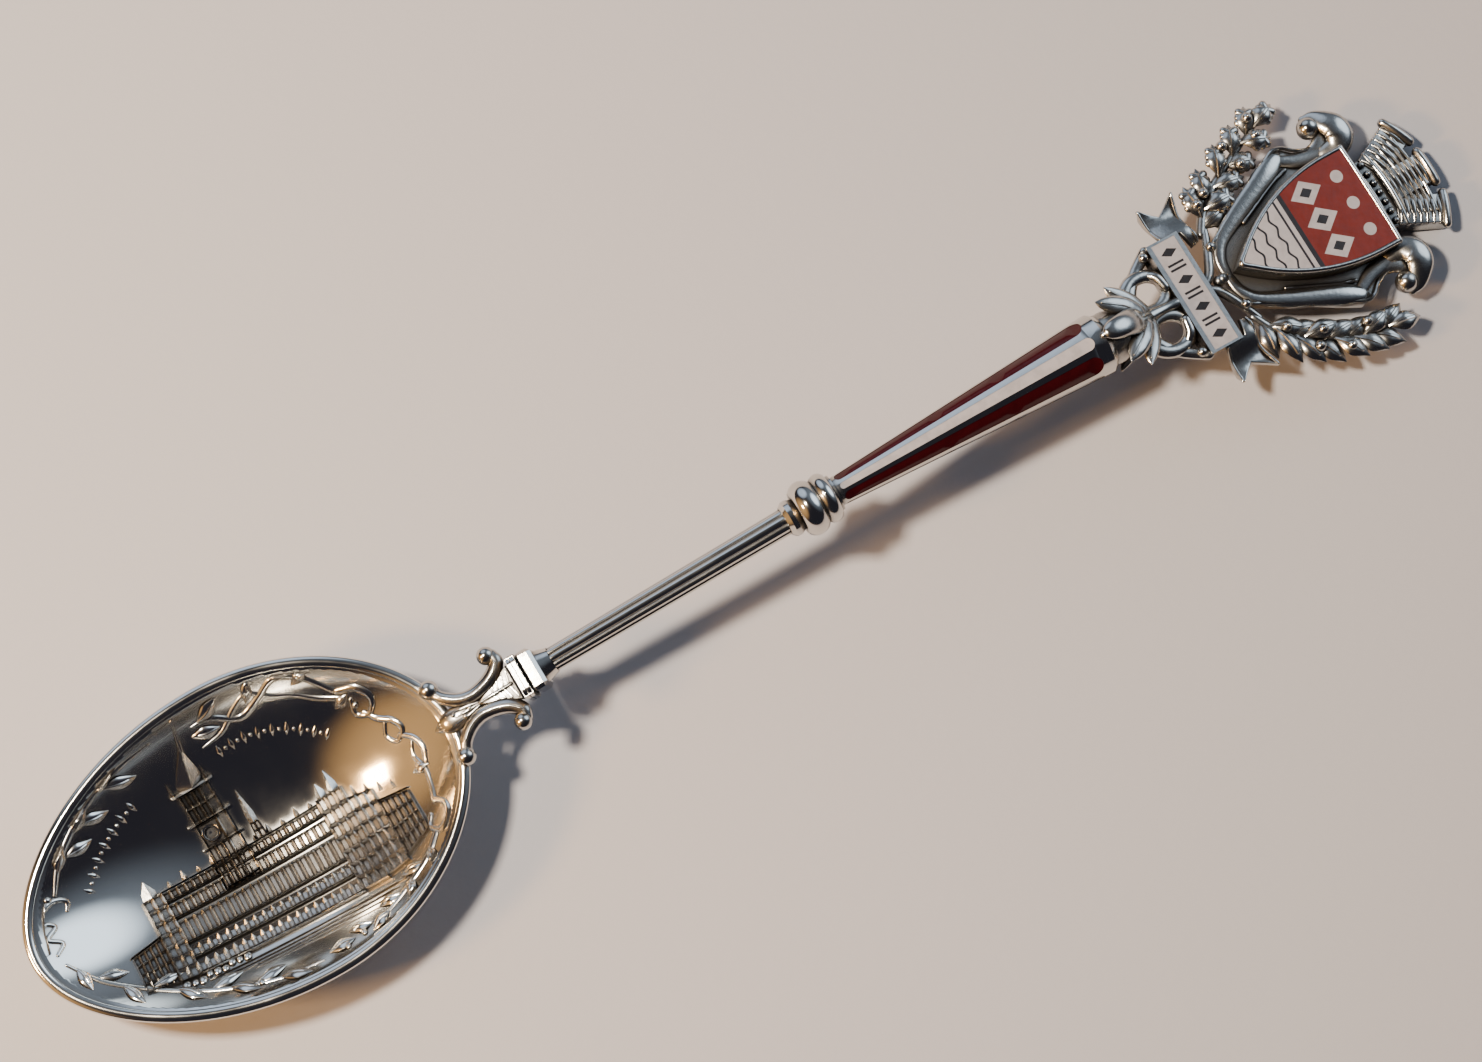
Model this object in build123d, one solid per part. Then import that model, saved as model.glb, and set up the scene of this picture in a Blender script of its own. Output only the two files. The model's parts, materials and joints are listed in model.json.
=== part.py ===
from build123d import *
from math import atan2, cos, degrees, radians, sin, sqrt, tan
import os

# A souvenir spoon lying face up. Millimetres, +X from the bowl's tip to the crown, +Z up.
# The origin is under the middle of the whole spoon, on the surface that it lies on.

# --- driving dimensions -------------------------------------------------------------------

# bowl: a struck shell whose sections are arcs about one axis over the spoon
BOWL_WIDTH = 25.6
BOWL_FRONT = 21.0            # tip to deepest point
BOWL_REAR = 17.3             # deepest point to heel
BOWL_DEPTH = 7.4             # rim above the deepest point, outside
BOWL_WALL = 0.8
RIM_INNER_ROUND = 0.3
RIM_OUTER_ROUND = 0.06

# neck, from the bowl's heel to the lower shaft
NECK_LENGTH = 8.5
NECK_LIFT = 0.55             # bar axis above the rim at the heel
NECK_RISE = 1.25             # climb from the heel to the lower shaft
BAR_RADIUS = 0.55
BAR_FOOT = -0.85
BAR_FOOT_SPREAD = 2.85       # where a bar lands on the rim, off the centre line
BAR_WAIST_SPREAD = 0.88      # where the two bars come closest
BAR_STATIONS = [(0.027, 1.45), (0.282, BAR_WAIST_SPREAD), (0.526, 1.02), (0.763, 1.5),
                (0.863, 2.25), (0.809, 2.75)]     # share of the way to the block's bands, spread
HORN_SHARE = 0.8             # where a horn's ball stands, as a share of the way to the block's bands
HORN_BALL_SPREAD = 2.85
HORN_BALL_LIFT = 0.05
HORN_BALL_RADIUS = 0.72
BEAD_RADIUS = 0.78
BEAD_STEP = 0.15             # the bead stands this far outside and below its bar's foot
LEAF_START = -2.0            # the leaf lies back over the heel
LEAF_SHARE = 0.437           # where the leaf ends, as a share of the way to the block's bands
LEAF_WIDTH = 1.9
LEAF_THICKNESS = 0.8
WEDGE_SHARE = 0.364          # where the wedge's point stands, on the same scale
WEDGE_WIDTH = 3.2
WEDGE_THICKNESS = 0.9
RING_WIDTH = 3.7             # banded ring in front of the block
RING_LENGTH = 0.75
RING_GROOVE = 0.2            # how far the space between the bands stands back
RING_SHARE = 0.8             # a band's share of its half of the length
RING_ROUND = 0.74            # corner radius of a band
BLOCK_WIDTH = 3.35
BLOCK_LENGTH = 1.35
BLOCK_BEVEL = 0.3
CONE_LENGTH = 1.0
CONE_LAND = 0.2              # straight part of the cone, inside the block
CONE_STEP = 0.08             # the cone's end over the shaft's radius

# lower shaft, reeded
LOWER_LENGTH = 21.0
LOWER_PITCH = 2.9            # degrees, climbing
REEDS = 8
LOWER_START_RADIUS = 0.98
LOWER_END_RADIUS = 1.1
REED_SHARE = 0.31            # a reed's radius over the shaft's
SHAFT_OVERLAP = 0.5          # how far a shaft runs into the piece before it

# knop, turned
KNOP_LENGTH = 4.6
KNOP_CONE_RADIUS = 1.5
KNOP_CONE_STEP = 0.1         # its small end over the lower shaft's radius
KNOP_CONE_END = 0.35
KNOP_CONE_LAND_END = 0.75
KNOP_CONE_HOLLOW = 0.2       # how far the cone draws in before the main ring
KNOP_MAIN_RADIUS = 2.3
KNOP_MAIN_LENGTH = 1.9
KNOP_SECOND_RADIUS = 2.1
KNOP_SECOND_LENGTH = 1.2
KNOP_GROOVE_RADIUS = 1.8     # where the rings meet
KNOP_COLLAR_RADIUS = 1.5
KNOP_COLLAR_LENGTH = 0.3

# upper shaft, a flaring cone with enamelled panels
UPPER_LENGTH = 24.4
UPPER_PITCH = -4.9           # degrees, falling
UPPER_START_RADIUS = 1.2
UPPER_END_RADIUS = 2.58
SHOULDER_LENGTH = 1.0
SHOULDER_BULGE = (0.7, 0.75) # share of its length, share of the shaft's radius there
SHOULDER_END_SHARE = 0.4
PANELS = 8                   # white and red by turns
WHITE_HALF_ANGLE = 12.5
RED_HALF_ANGLE = 19.5
PANEL_MARGIN_START = 0.3
PANEL_MARGIN_END = 0.95
PANEL_DEPTH = 0.18
ENAMEL_SINK = 0.04           # enamel surface below the silver beside it

# finial: heights are measured up from its flat back, lengths along it from the shaft's end
FINIAL_RUN = 33.2            # shaft's end to the crown's tip, level
CROWN_THICKNESS = 2.3
PLATE_THICKNESS = 1.8        # cartouche
BRANCH_BOTTOM = 0.2
BRANCH_TOP = 1.3
LOOP_BOTTOM = 0.5
LOOP_TOP = 2.1
LOOP_OUTLINE = [(2.9, 0), (3.1, 1.0), (4.4, 2.9)]
LOOP_END_HALF = 4.95
LOOP_HOLE_AT = (5.65, 1.72)
LOOP_HOLE_RADII = (1.3, 1.15)
LOOP_HOLE_TURN = 20.0        # degrees
UNDER_BOTTOM = 0.3           # the strip that runs under the ribbon
UNDER_EXTRA = 1.0            # it shows this much beyond the ribbon, both edges together
UNDER_WIDTH = 5.0
CROSS_STEMS = [(12.0, 1.6), (12.9, 3.4)]
CROSS_STEM_START = 0.2
CROSS_STEM_WIDTH = 0.85
CROSS_STEM_STEP = 0.3        # they lie this far below the ribbon's tails
RIBBON_BOTTOM = 1.0
RIBBON_TOP = 2.2
RIBBON_RIDGE = 0.28          # raised edge above the ribbon's floor
RIBBON_WIDTH = 3.05
RIBBON_LENGTH = 10.2
RIBBON_EDGE = 0.38
RIBBON_END = 0.2             # silver beyond the enamel at each end
RIBBON_START = 7.6
TAIL_TOP = 1.9
TAIL_LIFT = 0.4              # above the strip's underside
TAIL_NEAR = [(1.7, 0), (1.5, 2.9)]                # from the ribbon's first edge and its end
TAIL_FAR = [(0, 2.0), (1.75, 3.2), (1.35, 1.5), (1.5, -1.5), (0.5, -1.5), (0, -0.4), (0, 0)]
MARK_COUNT = 7
MARK_MARGIN = 1.2
MARK_LENGTH = 1.5
MARK_WIDTH = 0.8
MARK_DEPTH = 0.14
MARK_BAR_SPREAD = 0.22
MARK_BAR_WIDTH = 0.2

# calyx
CALYX_LENGTH = 4.3
CALYX_RADIUS = 1.25
CALYX_LIP = 0.35             # start of the cup, past the shaft's end
CALYX_LIP_STEP = 0.15        # its radius under the shaft's
CALYX_SHOULDER = (1.1, 1.6)  # station, share of the cup's radius
CALYX_WAIST = 2.2
CALYX_FOOT_SHARE = 0.65
CALYX_ROOT = 3.3             # where the leaves spring from, past the shaft's end
CALYX_LEAF_LENGTH = 3.7
CALYX_LEAF_WIDTH = 1.6
CALYX_LEAF_THICKNESS = 0.8
CALYX_LEAVES = [(0, 36), (55, 40), (-55, 40), (105, 62), (-105, 62), (180, 36)]   # roll, flare

# shield
SHIELD_HALF = 4.33
SHIELD_TIP = 13.6
SHIELD_TOP = 26.15
SHIELD_STRAIGHT = 1.6        # straight part of the sides under the top edge
SHIELD_RIM = 0.36
SHIELD_FLOOR = 3.05          # height of the tray's floor
SHIELD_FRONT = 3.6           # height of its rim
FIELD_LINE = 19.2            # where the coloured field meets the base
THICK_LINE = 0.42
THIN_LINE = 0.2
LINE_GAP = 0.38
LOZENGES = 3
LOZENGE_LENGTH = 3.0
LOZENGE_WIDTH = 2.3
LOZENGE_PITCH = 2.55
LOZENGE_AT = 21.45
LOZENGE_EYE = 0.42           # black eye's share of a lozenge
DISC_RADIUS = 0.55
DISC_PITCH = 2.55
DISC_AT = 24.55
WAVES = 3
WAVE_PITCH = 1.15
WAVE_START = 0.8             # first wave below the thin line, in pitches
WAVE_HEIGHT = 0.28
WAVE_LENGTH = 1.5
WAVE_LINE = 0.2

# cartouche ears, crown and berries
EAR_BALL_RADIUS = 1.0
EAR_BALL_LIFT = 1.2
EAR_U = 26.6
EAR_Y = 7.6
EAR_STRAP_AT = (27.9, 6.7)
EAR_STRAP_TURN = 35.0        # degrees
EAR_STRAP_LENGTH = 3.2
EAR_STRAP_WIDTH = 1.0
EAR_STRAP_HEIGHT = 0.9
EAR_STRAP_ROUND = 0.3
FOOT_BEAD_AT = 12.3
FOOT_BEAD_RADIUS = 0.5
FOOT_BEAD_STEP = 0.4
SLOT_RUN = [(17.9, 4.35), (21.8, 6.0)]
SLOT_WIDTH = 0.45
SLOT_DEPTH = 0.4
CROWN_START = 26.55
CROWN_BAND_LENGTH = 2.45
CROWN_BAND_HALF = 3.15
BAND_STEP = 0.35             # the band's wall behind its rims
BAND_RIM_FIRST = 0.75        # from the band's start
BAND_RIM_LAST = 0.18         # from its end
BAND_RIM_WIDTH = 0.34
BAND_RIM_BOTTOM = 0.2
STUDS = 5
STUD_PITCH = 1.2
STUD_SHIFT = 0.35            # beyond the band's middle
STUD_SINK = 0.4
STUD_RADIUS = 0.36
WALL_LENGTH = 2.2            # the wall between the towers
WALL_HALF = 3.1
WALL_STEP = 0.3              # its face behind the towers'
TOWER_START_HALF = 1.15
TOWER_END_HALF = 1.4
TOWER_CAP_LENGTH = 0.8
TOWER_CAP_STEP = 0.15
TOWER_COURSES = 5
TOWER_SPLAY = 26.0           # degrees
SIDE_TOWER_LENGTH = 4.6
SIDE_TOWER_BACK = 0.9        # its root inside the band
SIDE_TOWER_IN = 0.35
COURSE_GROOVE = 0.18
BERRY_RADIUS = 0.55

SLIVER = 0.01                # cubic millimetres, cut-off scraps smaller than this are dropped

# --- derived stations ---------------------------------------------------------------------

TOTAL = BOWL_FRONT + BOWL_REAR + NECK_LENGTH + LOWER_LENGTH + KNOP_LENGTH + UPPER_LENGTH + FINIAL_RUN
X_TIP = -TOTAL / 2
X_DEEP = X_TIP + BOWL_FRONT
X_HEEL = X_DEEP + BOWL_REAR
X_LOWER = X_HEEL + NECK_LENGTH
X_KNOP = X_LOWER + LOWER_LENGTH
X_UPPER = X_KNOP + KNOP_LENGTH
X_FINIAL = X_UPPER + UPPER_LENGTH

Z_RIM = BOWL_DEPTH
Z_NECK = Z_RIM + NECK_LIFT
Z_LOWER = Z_NECK + NECK_RISE
Z_KNOP = Z_LOWER + LOWER_LENGTH * tan(radians(LOWER_PITCH))
Z_FINIAL = Z_KNOP + UPPER_LENGTH * tan(radians(UPPER_PITCH))

NECK_PITCH = degrees(atan2(NECK_RISE, NECK_LENGTH))
NECK_SPAN = sqrt(NECK_LENGTH ** 2 + NECK_RISE ** 2)
LOWER_SPAN = LOWER_LENGTH / cos(radians(LOWER_PITCH))
UPPER_SPAN = UPPER_LENGTH / cos(radians(UPPER_PITCH))

# the finial's back plane touches the shaft's end and the resting surface
BACK_DROP = Z_FINIAL - UPPER_END_RADIUS


def pitched(x, z, pitch):
    """A work plane on the centre line at x, z, whose own X climbs by pitch degrees."""
    a = radians(pitch)
    return Plane(origin=(x, 0, z), x_dir=(cos(a), 0, sin(a)), z_dir=(-sin(a), 0, cos(a))).location


# front edge of the crown's tip reaches the end of the spoon, its back edge the surface
BACK_RUN = FINIAL_RUN
for step in range(8):
    BACK_RUN = FINIAL_RUN - CROWN_THICKNESS * sin(atan2(BACK_DROP, BACK_RUN))
FINIAL_PITCH = -degrees(atan2(BACK_DROP, BACK_RUN))
FINIAL_SPAN = sqrt(BACK_RUN ** 2 + BACK_DROP ** 2)

NECK = pitched(X_HEEL, Z_NECK, NECK_PITCH)
LOWER = pitched(X_LOWER, Z_LOWER, LOWER_PITCH)
KNOP = pitched(X_KNOP, Z_KNOP, 0)
UPPER = pitched(X_UPPER, Z_KNOP, UPPER_PITCH)
FINIAL = pitched(X_FINIAL, BACK_DROP, FINIAL_PITCH)

BLOCK_END = NECK_SPAN - CONE_LENGTH
BLOCK_START = BLOCK_END - BLOCK_LENGTH
RING_START = BLOCK_START - RING_LENGTH


# --- helpers --------------------------------------------------------------------------------

def slab(outline, bottom, top):
    """A flat piece between two heights."""
    return Pos(0, 0, bottom) * extrude(outline, top - bottom)


def both_sides(shape):
    """A shape and its mirror image across the centre line."""
    return shape + mirror(shape, Plane.XZ)


def closed(*edges):
    """The face inside a chain of edges that starts and ends on the centre line."""
    return make_face(Wire(edges))


def turned(points):
    """A solid turned about the X axis from straight runs of (x, radius) points."""
    first, last = points[0][0], points[-1][0]
    outline = Polyline((first, 0), *points, (last, 0), close=True)
    return revolve(make_face(outline), Axis.X)


def ball(x, y, z, radius):
    """A ball that turned work ends in."""
    return Pos(x, y, z) * Sphere(radius)


def vesica(start, end, width):
    """A pointed leaf outline between two points, two equal arcs."""
    (x0, y0), (x1, y1) = start, end
    length = sqrt((x1 - x0) ** 2 + (y1 - y0) ** 2)
    nx, ny = -(y1 - y0) / length * width / 2, (x1 - x0) / length * width / 2
    mx, my = (x0 + x1) / 2, (y0 + y1) / 2
    return closed(ThreePointArc(start, (mx + nx, my + ny), end),
                  ThreePointArc(end, (mx - nx, my - ny), start))


def strand(points, width):
    """A round-ended strip outline along straight runs."""
    runs = [make_hull((Pos(*a) * Circle(width / 2) + Pos(*b) * Circle(width / 2)).edges())
            for a, b in zip(points, points[1:])]
    strip = runs[0]
    for run in runs[1:]:
        strip += run
    return strip


# --- bowl -----------------------------------------------------------------------------------

def bowl_form(inset):
    """The solid inside the bowl's struck surface, pulled in by inset."""
    deep_radius = ((BOWL_WIDTH / 2) ** 2 + BOWL_DEPTH ** 2) / (2 * BOWL_DEPTH)
    axis = Axis((0, 0, deep_radius), (1, 0, 0))
    ends = []
    arcs = []
    for length, way in ((BOWL_FRONT, -1), (BOWL_REAR, 1)):
        centre = (length ** 2 + BOWL_DEPTH ** 2) / (2 * BOWL_DEPTH)
        radius = centre - inset
        reach = sqrt(radius ** 2 - (centre - Z_RIM) ** 2)
        half = atan2(reach, centre - Z_RIM) / 2
        rim = (X_DEEP + way * reach, 0, Z_RIM)
        middle = (X_DEEP + way * radius * sin(half), 0, centre - radius * cos(half))
        arcs.append(ThreePointArc(rim, middle, (X_DEEP, 0, inset)))
        ends.append(rim)
    tops = [(x, 0, deep_radius) for x, y, z in ends]
    sides = [Line(ends[0], tops[0]), Line(tops[0], tops[1]), Line(tops[1], ends[1])]
    return revolve(make_face(Wire([*arcs, *sides])), axis)


def bowl():
    shell = bowl_form(0) - bowl_form(BOWL_WALL)
    shell = split(shell, Plane.XY.offset(Z_RIM), keep=Keep.BOTTOM)
    rim = shell.faces().sort_by(Axis.Z)[-1]
    shell = fillet(rim.inner_wires()[0].edges(), RIM_INNER_ROUND)
    rim = shell.faces().filter_by(GeomType.PLANE).sort_by(Axis.Z)[-1]
    return fillet(rim.outer_wire().edges(), RIM_OUTER_ROUND)


# --- neck -----------------------------------------------------------------------------------

def scroll_bar():
    """One C-scroll: from its foot on the rim, in to the waist, out to a curled horn."""
    stations = [(share * RING_START, side, 0) for share, side in BAR_STATIONS]
    path = Spline((BAR_FOOT, BAR_FOOT_SPREAD, 0), *stations)
    start = Plane(origin=path @ 0, z_dir=path % 0)
    return NECK * sweep(start * Circle(BAR_RADIUS), path=path)


def rim_bead():
    return NECK * ball(BAR_FOOT, BAR_FOOT_SPREAD + BEAD_STEP, -BEAD_STEP, BEAD_RADIUS)


def horn_ball():
    return NECK * ball(HORN_SHARE * RING_START, HORN_BALL_SPREAD, HORN_BALL_LIFT, HORN_BALL_RADIUS)


def heel_leaf():
    outline = vesica((LEAF_START, 0), (LEAF_SHARE * RING_START, 0), LEAF_WIDTH)
    return NECK * slab(outline, -LEAF_THICKNESS, 0)


def neck_wedge():
    outline = Polyline((WEDGE_SHARE * RING_START, 0), (RING_START, WEDGE_WIDTH / 2),
                       (RING_START, -WEDGE_WIDTH / 2), close=True)
    return NECK * slab(make_face(outline), -WEDGE_THICKNESS / 2, WEDGE_THICKNESS / 2)


def neck_block():
    """Two thin bands, a bevelled square block and the cone that takes the shaft."""
    band = RING_LENGTH / 2
    core = RING_WIDTH - 2 * RING_GROOVE
    solid = Pos(RING_START + RING_LENGTH / 2, 0, 0) * Box(RING_LENGTH, core, core)
    for i in range(2):
        rounded = Box(band * RING_SHARE, RING_WIDTH, RING_WIDTH)
        rounded = fillet(rounded.edges().filter_by(Axis.X), RING_ROUND)
        solid += Pos(RING_START + band * (i + 0.5), 0, 0) * rounded
    cube = Box(BLOCK_LENGTH, BLOCK_WIDTH, BLOCK_WIDTH)
    solid += Pos(BLOCK_START + BLOCK_LENGTH / 2, 0, 0) * chamfer(cube.edges(), BLOCK_BEVEL)
    cone_radius = BLOCK_WIDTH / 2 - BLOCK_BEVEL
    cone = turned([(BLOCK_END - CONE_LAND, cone_radius), (BLOCK_END, cone_radius),
                   (NECK_SPAN, LOWER_START_RADIUS + CONE_STEP)])
    return NECK * (solid + cone)


# --- shafts and knop ------------------------------------------------------------------------

def reeded(radius):
    """Round core with half-round reeds, touching the given radius."""
    reed = radius * REED_SHARE
    outline = Circle(radius - reed)
    outline += PolarLocations(radius - reed, REEDS) * Circle(reed)
    return outline


def lower_shaft():
    section = Plane.YZ.offset(-SHAFT_OVERLAP) * reeded(LOWER_START_RADIUS)
    taper = -degrees(atan2(LOWER_END_RADIUS - LOWER_START_RADIUS, LOWER_SPAN))
    return LOWER * extrude(section, LOWER_SPAN + 2 * SHAFT_OVERLAP, taper=taper)


def knop():
    """Small cone, heavy ring, second ring and collar."""
    def ring(start, length, radius, root):
        bulge = ThreePointArc((start, root), (start + length / 2, radius), (start + length, root))
        side = Polyline((start + length, root), (start + length, 0), (start, 0), (start, root))
        return revolve(make_face(Wire([bulge, *side.edges()])), Axis.X)

    collar = KNOP_LENGTH - KNOP_COLLAR_LENGTH
    second = collar - KNOP_SECOND_LENGTH
    main = second - KNOP_MAIN_LENGTH
    solid = turned([(0, LOWER_END_RADIUS + KNOP_CONE_STEP), (KNOP_CONE_END, KNOP_CONE_RADIUS),
                    (KNOP_CONE_LAND_END, KNOP_CONE_RADIUS), (main, KNOP_CONE_RADIUS - KNOP_CONE_HOLLOW),
                    (second, KNOP_COLLAR_RADIUS), (KNOP_LENGTH, KNOP_COLLAR_RADIUS)])
    solid += ring(main, KNOP_MAIN_LENGTH, KNOP_MAIN_RADIUS, KNOP_GROOVE_RADIUS)
    solid += ring(second, KNOP_SECOND_LENGTH, KNOP_SECOND_RADIUS, KNOP_GROOVE_RADIUS)
    return KNOP * solid


def shaft_radius(x):
    """Upper shaft's radius at a distance along it."""
    return UPPER_START_RADIUS + (UPPER_END_RADIUS - UPPER_START_RADIUS) * x / UPPER_SPAN


def shaft_cone(pull):
    """The shaft's cone, pulled in by a depth, long enough to cross every panel."""
    return turned([(0, UPPER_START_RADIUS - pull), (UPPER_SPAN, UPPER_END_RADIUS - pull)])


def panel_prism(half_angle):
    """One panel's tapered, round-ended outline, raised from near the shaft's axis."""
    share = sin(radians(half_angle))
    first = PANEL_MARGIN_START + UPPER_START_RADIUS * share
    last = UPPER_SPAN - PANEL_MARGIN_END - UPPER_END_RADIUS * share
    ends = Pos(first, 0) * Circle(shaft_radius(first) * share)
    ends += Pos(last, 0) * Circle(shaft_radius(last) * share)
    return slab(make_hull(ends.edges()), UPPER_START_RADIUS / 10, 2 * UPPER_END_RADIUS)


def white_panels():
    """Cutting forms of the narrow panels, the first of them on top."""
    prism = panel_prism(WHITE_HALF_ANGLE)
    return [Rot(i * 360 / PANELS, 0, 0) * prism for i in range(0, PANELS, 2)]


def red_panels():
    """Cutting forms of the broad panels between the white ones."""
    prism = panel_prism(RED_HALF_ANGLE)
    return [Rot(i * 360 / PANELS, 0, 0) * prism for i in range(1, PANELS, 2)]


def upper_shaft():
    body = turned([(-SHAFT_OVERLAP, UPPER_START_RADIUS), (0, UPPER_START_RADIUS),
                   (UPPER_SPAN, UPPER_END_RADIUS)])
    end = UPPER_SPAN + SHOULDER_LENGTH
    end_radius = UPPER_END_RADIUS * SHOULDER_END_SHARE
    bulge = (UPPER_SPAN + SHOULDER_LENGTH * SHOULDER_BULGE[0], UPPER_END_RADIUS * SHOULDER_BULGE[1])
    dome = ThreePointArc((UPPER_SPAN, UPPER_END_RADIUS), bulge, (end, end_radius))
    side = Polyline((end, end_radius), (end, 0), (UPPER_SPAN, 0), (UPPER_SPAN, UPPER_END_RADIUS))
    body += revolve(make_face(Wire([dome, *side.edges()])), Axis.X)
    core = shaft_cone(PANEL_DEPTH)
    for form in white_panels() + red_panels():
        body -= form - core
    return UPPER * body


def shaft_enamel(forms):
    """Glass in the given panels, from a recess's floor to just under the silver."""
    glass = shaft_cone(ENAMEL_SINK) - shaft_cone(PANEL_DEPTH)
    return UPPER * Compound([(form & glass).solid() for form in forms])


# --- calyx, loops and ribbon ----------------------------------------------------------------

def calyx():
    """A leaf cap: a cup over the shaft's end that falls to the finial's plate, with turned-back leaves."""
    height = UPPER_END_RADIUS
    fall = degrees(atan2(height - (LOOP_BOTTOM + LOOP_TOP) / 2, CALYX_LENGTH))
    cup = turned([(CALYX_LIP, UPPER_END_RADIUS - CALYX_LIP_STEP),
                  (CALYX_SHOULDER[0], CALYX_RADIUS * CALYX_SHOULDER[1]), (CALYX_WAIST, CALYX_RADIUS),
                  (CALYX_LENGTH, CALYX_RADIUS * CALYX_FOOT_SHARE)])
    leaf = slab(vesica((0, 0), (CALYX_LEAF_LENGTH, 0), CALYX_LEAF_WIDTH), -CALYX_LEAF_THICKNESS / 2,
                CALYX_LEAF_THICKNESS / 2)
    for roll, flare in CALYX_LEAVES:
        turned_back = Pos(CALYX_ROOT, 0, CALYX_RADIUS * 0.5) * Rot(0, flare - 180, 0) * leaf
        cup += Rot(roll, 0, 0) * turned_back
    return FINIAL * Pos(0, 0, height) * Rot(0, fall, 0) * cup


def loops_outline():
    """The two looped strands between calyx and ribbon, one side of the centre line."""
    body = make_face(Polyline(*LOOP_OUTLINE, (RIBBON_START, LOOP_END_HALF), (RIBBON_START, 0), close=True))
    hole = Pos(*LOOP_HOLE_AT) * Rot(0, 0, LOOP_HOLE_TURN) * Ellipse(*LOOP_HOLE_RADII)
    return body - hole


def stem_loops():
    """Open strands before the ribbon, a strip under it, and stems that cross beyond it."""
    ribbon_end = RIBBON_START + RIBBON_WIDTH
    solid = slab(both_sides(loops_outline()), LOOP_BOTTOM, LOOP_TOP)
    strip = Pos((RIBBON_START + ribbon_end) / 2, 0) * Rectangle(RIBBON_WIDTH + UNDER_EXTRA, UNDER_WIDTH)
    solid += slab(strip, UNDER_BOTTOM, RIBBON_BOTTOM)
    stems = both_sides(strand([(ribbon_end, CROSS_STEM_START), *CROSS_STEMS], CROSS_STEM_WIDTH))
    solid += slab(stems, UNDER_BOTTOM, TAIL_TOP - CROSS_STEM_STEP)
    return FINIAL * solid


def ribbon_floor():
    floor = Rectangle(RIBBON_WIDTH - 2 * RIBBON_EDGE, RIBBON_LENGTH - 2 * RIBBON_END)
    return Pos(RIBBON_START + RIBBON_WIDTH / 2, 0) * floor


def ribbon_plate():
    """The ribbon's middle, a strip with two raised edges."""
    outline = Pos(RIBBON_START + RIBBON_WIDTH / 2, 0) * Rectangle(RIBBON_WIDTH, RIBBON_LENGTH)
    solid = slab(outline, RIBBON_BOTTOM, RIBBON_TOP)
    return FINIAL * (solid - slab(ribbon_floor(), RIBBON_TOP - RIBBON_RIDGE, RIBBON_TOP + 1))


def ribbon_marks_outline():
    """A border of lozenges and paired bars in place of any lettering."""
    pitch = (RIBBON_LENGTH - MARK_MARGIN) / MARK_COUNT
    middle = RIBBON_START + RIBBON_WIDTH / 2
    marks = Sketch()
    for i in range(MARK_COUNT):
        y = (i - (MARK_COUNT - 1) / 2) * pitch
        if i % 2 == 0:
            corner = Polyline((-MARK_LENGTH / 2, 0), (0, MARK_WIDTH / 2), (MARK_LENGTH / 2, 0),
                              (0, -MARK_WIDTH / 2), close=True)
            marks += Pos(middle, y) * make_face(corner)
        else:
            for side in (-MARK_BAR_SPREAD, MARK_BAR_SPREAD):
                marks += Pos(middle, y + side) * Rectangle(MARK_LENGTH, MARK_BAR_WIDTH)
    return marks


def ribbon_marks():
    top = RIBBON_TOP - ENAMEL_SINK
    return FINIAL * slab(ribbon_marks_outline(), top - MARK_DEPTH, top)


def ribbon_enamel():
    top = RIBBON_TOP - ENAMEL_SINK
    solid = slab(ribbon_floor(), RIBBON_TOP - RIBBON_RIDGE, top)
    return FINIAL * (solid - slab(ribbon_marks_outline(), top - MARK_DEPTH, top + 1))


def ribbon_tail():
    """One swallow-tailed end, with the fold that comes out from behind the ribbon."""
    end = RIBBON_START + RIBBON_WIDTH
    half = RIBBON_LENGTH / 2
    near = [(RIBBON_START + u, half + y) for u, y in TAIL_NEAR]
    far = [(end + u, half + y) for u, y in TAIL_FAR]
    return FINIAL * slab(make_face(Polyline(*near, *far, close=True)), UNDER_BOTTOM + TAIL_LIFT, TAIL_TOP)


# --- shield ---------------------------------------------------------------------------------

def shield_outline():
    """Straight top, sides that run straight and then curve in to the point."""
    turn = SHIELD_TOP - SHIELD_STRAIGHT
    reach = turn - SHIELD_TIP
    radius = (reach ** 2 + SHIELD_HALF ** 2) / (2 * SHIELD_HALF)
    half = atan2(reach, radius - SHIELD_HALF) / 2
    middle = (turn - radius * sin(half), SHIELD_HALF - radius + radius * cos(half))
    edges = []
    for way in (1, -1):
        corner = (SHIELD_TOP, way * SHIELD_HALF)
        bend = (turn, way * SHIELD_HALF)
        edges += [Line(corner, bend), ThreePointArc(bend, (middle[0], way * middle[1]), (SHIELD_TIP, 0))]
    edges.append(Line((SHIELD_TOP, SHIELD_HALF), (SHIELD_TOP, -SHIELD_HALF)))
    return closed(*edges)


def shield_setting():
    """The tray that holds the enamel, with its raised rim."""
    inside = shield_outline()
    outside = offset(inside, SHIELD_RIM)
    solid = slab(outside, PLATE_THICKNESS, SHIELD_FRONT)
    return FINIAL * (solid - slab(inside, SHIELD_FLOOR, SHIELD_FRONT + 1))


def lozenge(share):
    a, b = LOZENGE_LENGTH / 2 * share, LOZENGE_WIDTH / 2 * share
    return make_face(Polyline((-a, 0), (0, b), (a, 0), (0, -b), close=True))


def wave(at):
    """A wavy line across the base of the shield."""
    span = SHIELD_HALF + WAVE_LENGTH / 3
    count = int(2 * span / (WAVE_LENGTH / 2))
    points = [(at + WAVE_HEIGHT / 2 * (-1) ** i, -span + i * WAVE_LENGTH / 2) for i in range(count + 1)]
    line = Spline(*points)
    back = Spline(*[(x - WAVE_LINE, y) for x, y in points])
    return make_face(Wire([line, Line(line @ 1, back @ 1), back, Line(back @ 0, line @ 0)]))


def charges_outline():
    """Three lozenges with three discs over them, a plain ornament of no one's arms."""
    shapes = Sketch()
    for i in range(LOZENGES):
        place = i - (LOZENGES - 1) / 2
        shapes += Pos(LOZENGE_AT, place * LOZENGE_PITCH) * lozenge(1)
        shapes += Pos(DISC_AT, place * DISC_PITCH) * Circle(DISC_RADIUS)
    return shapes


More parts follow.
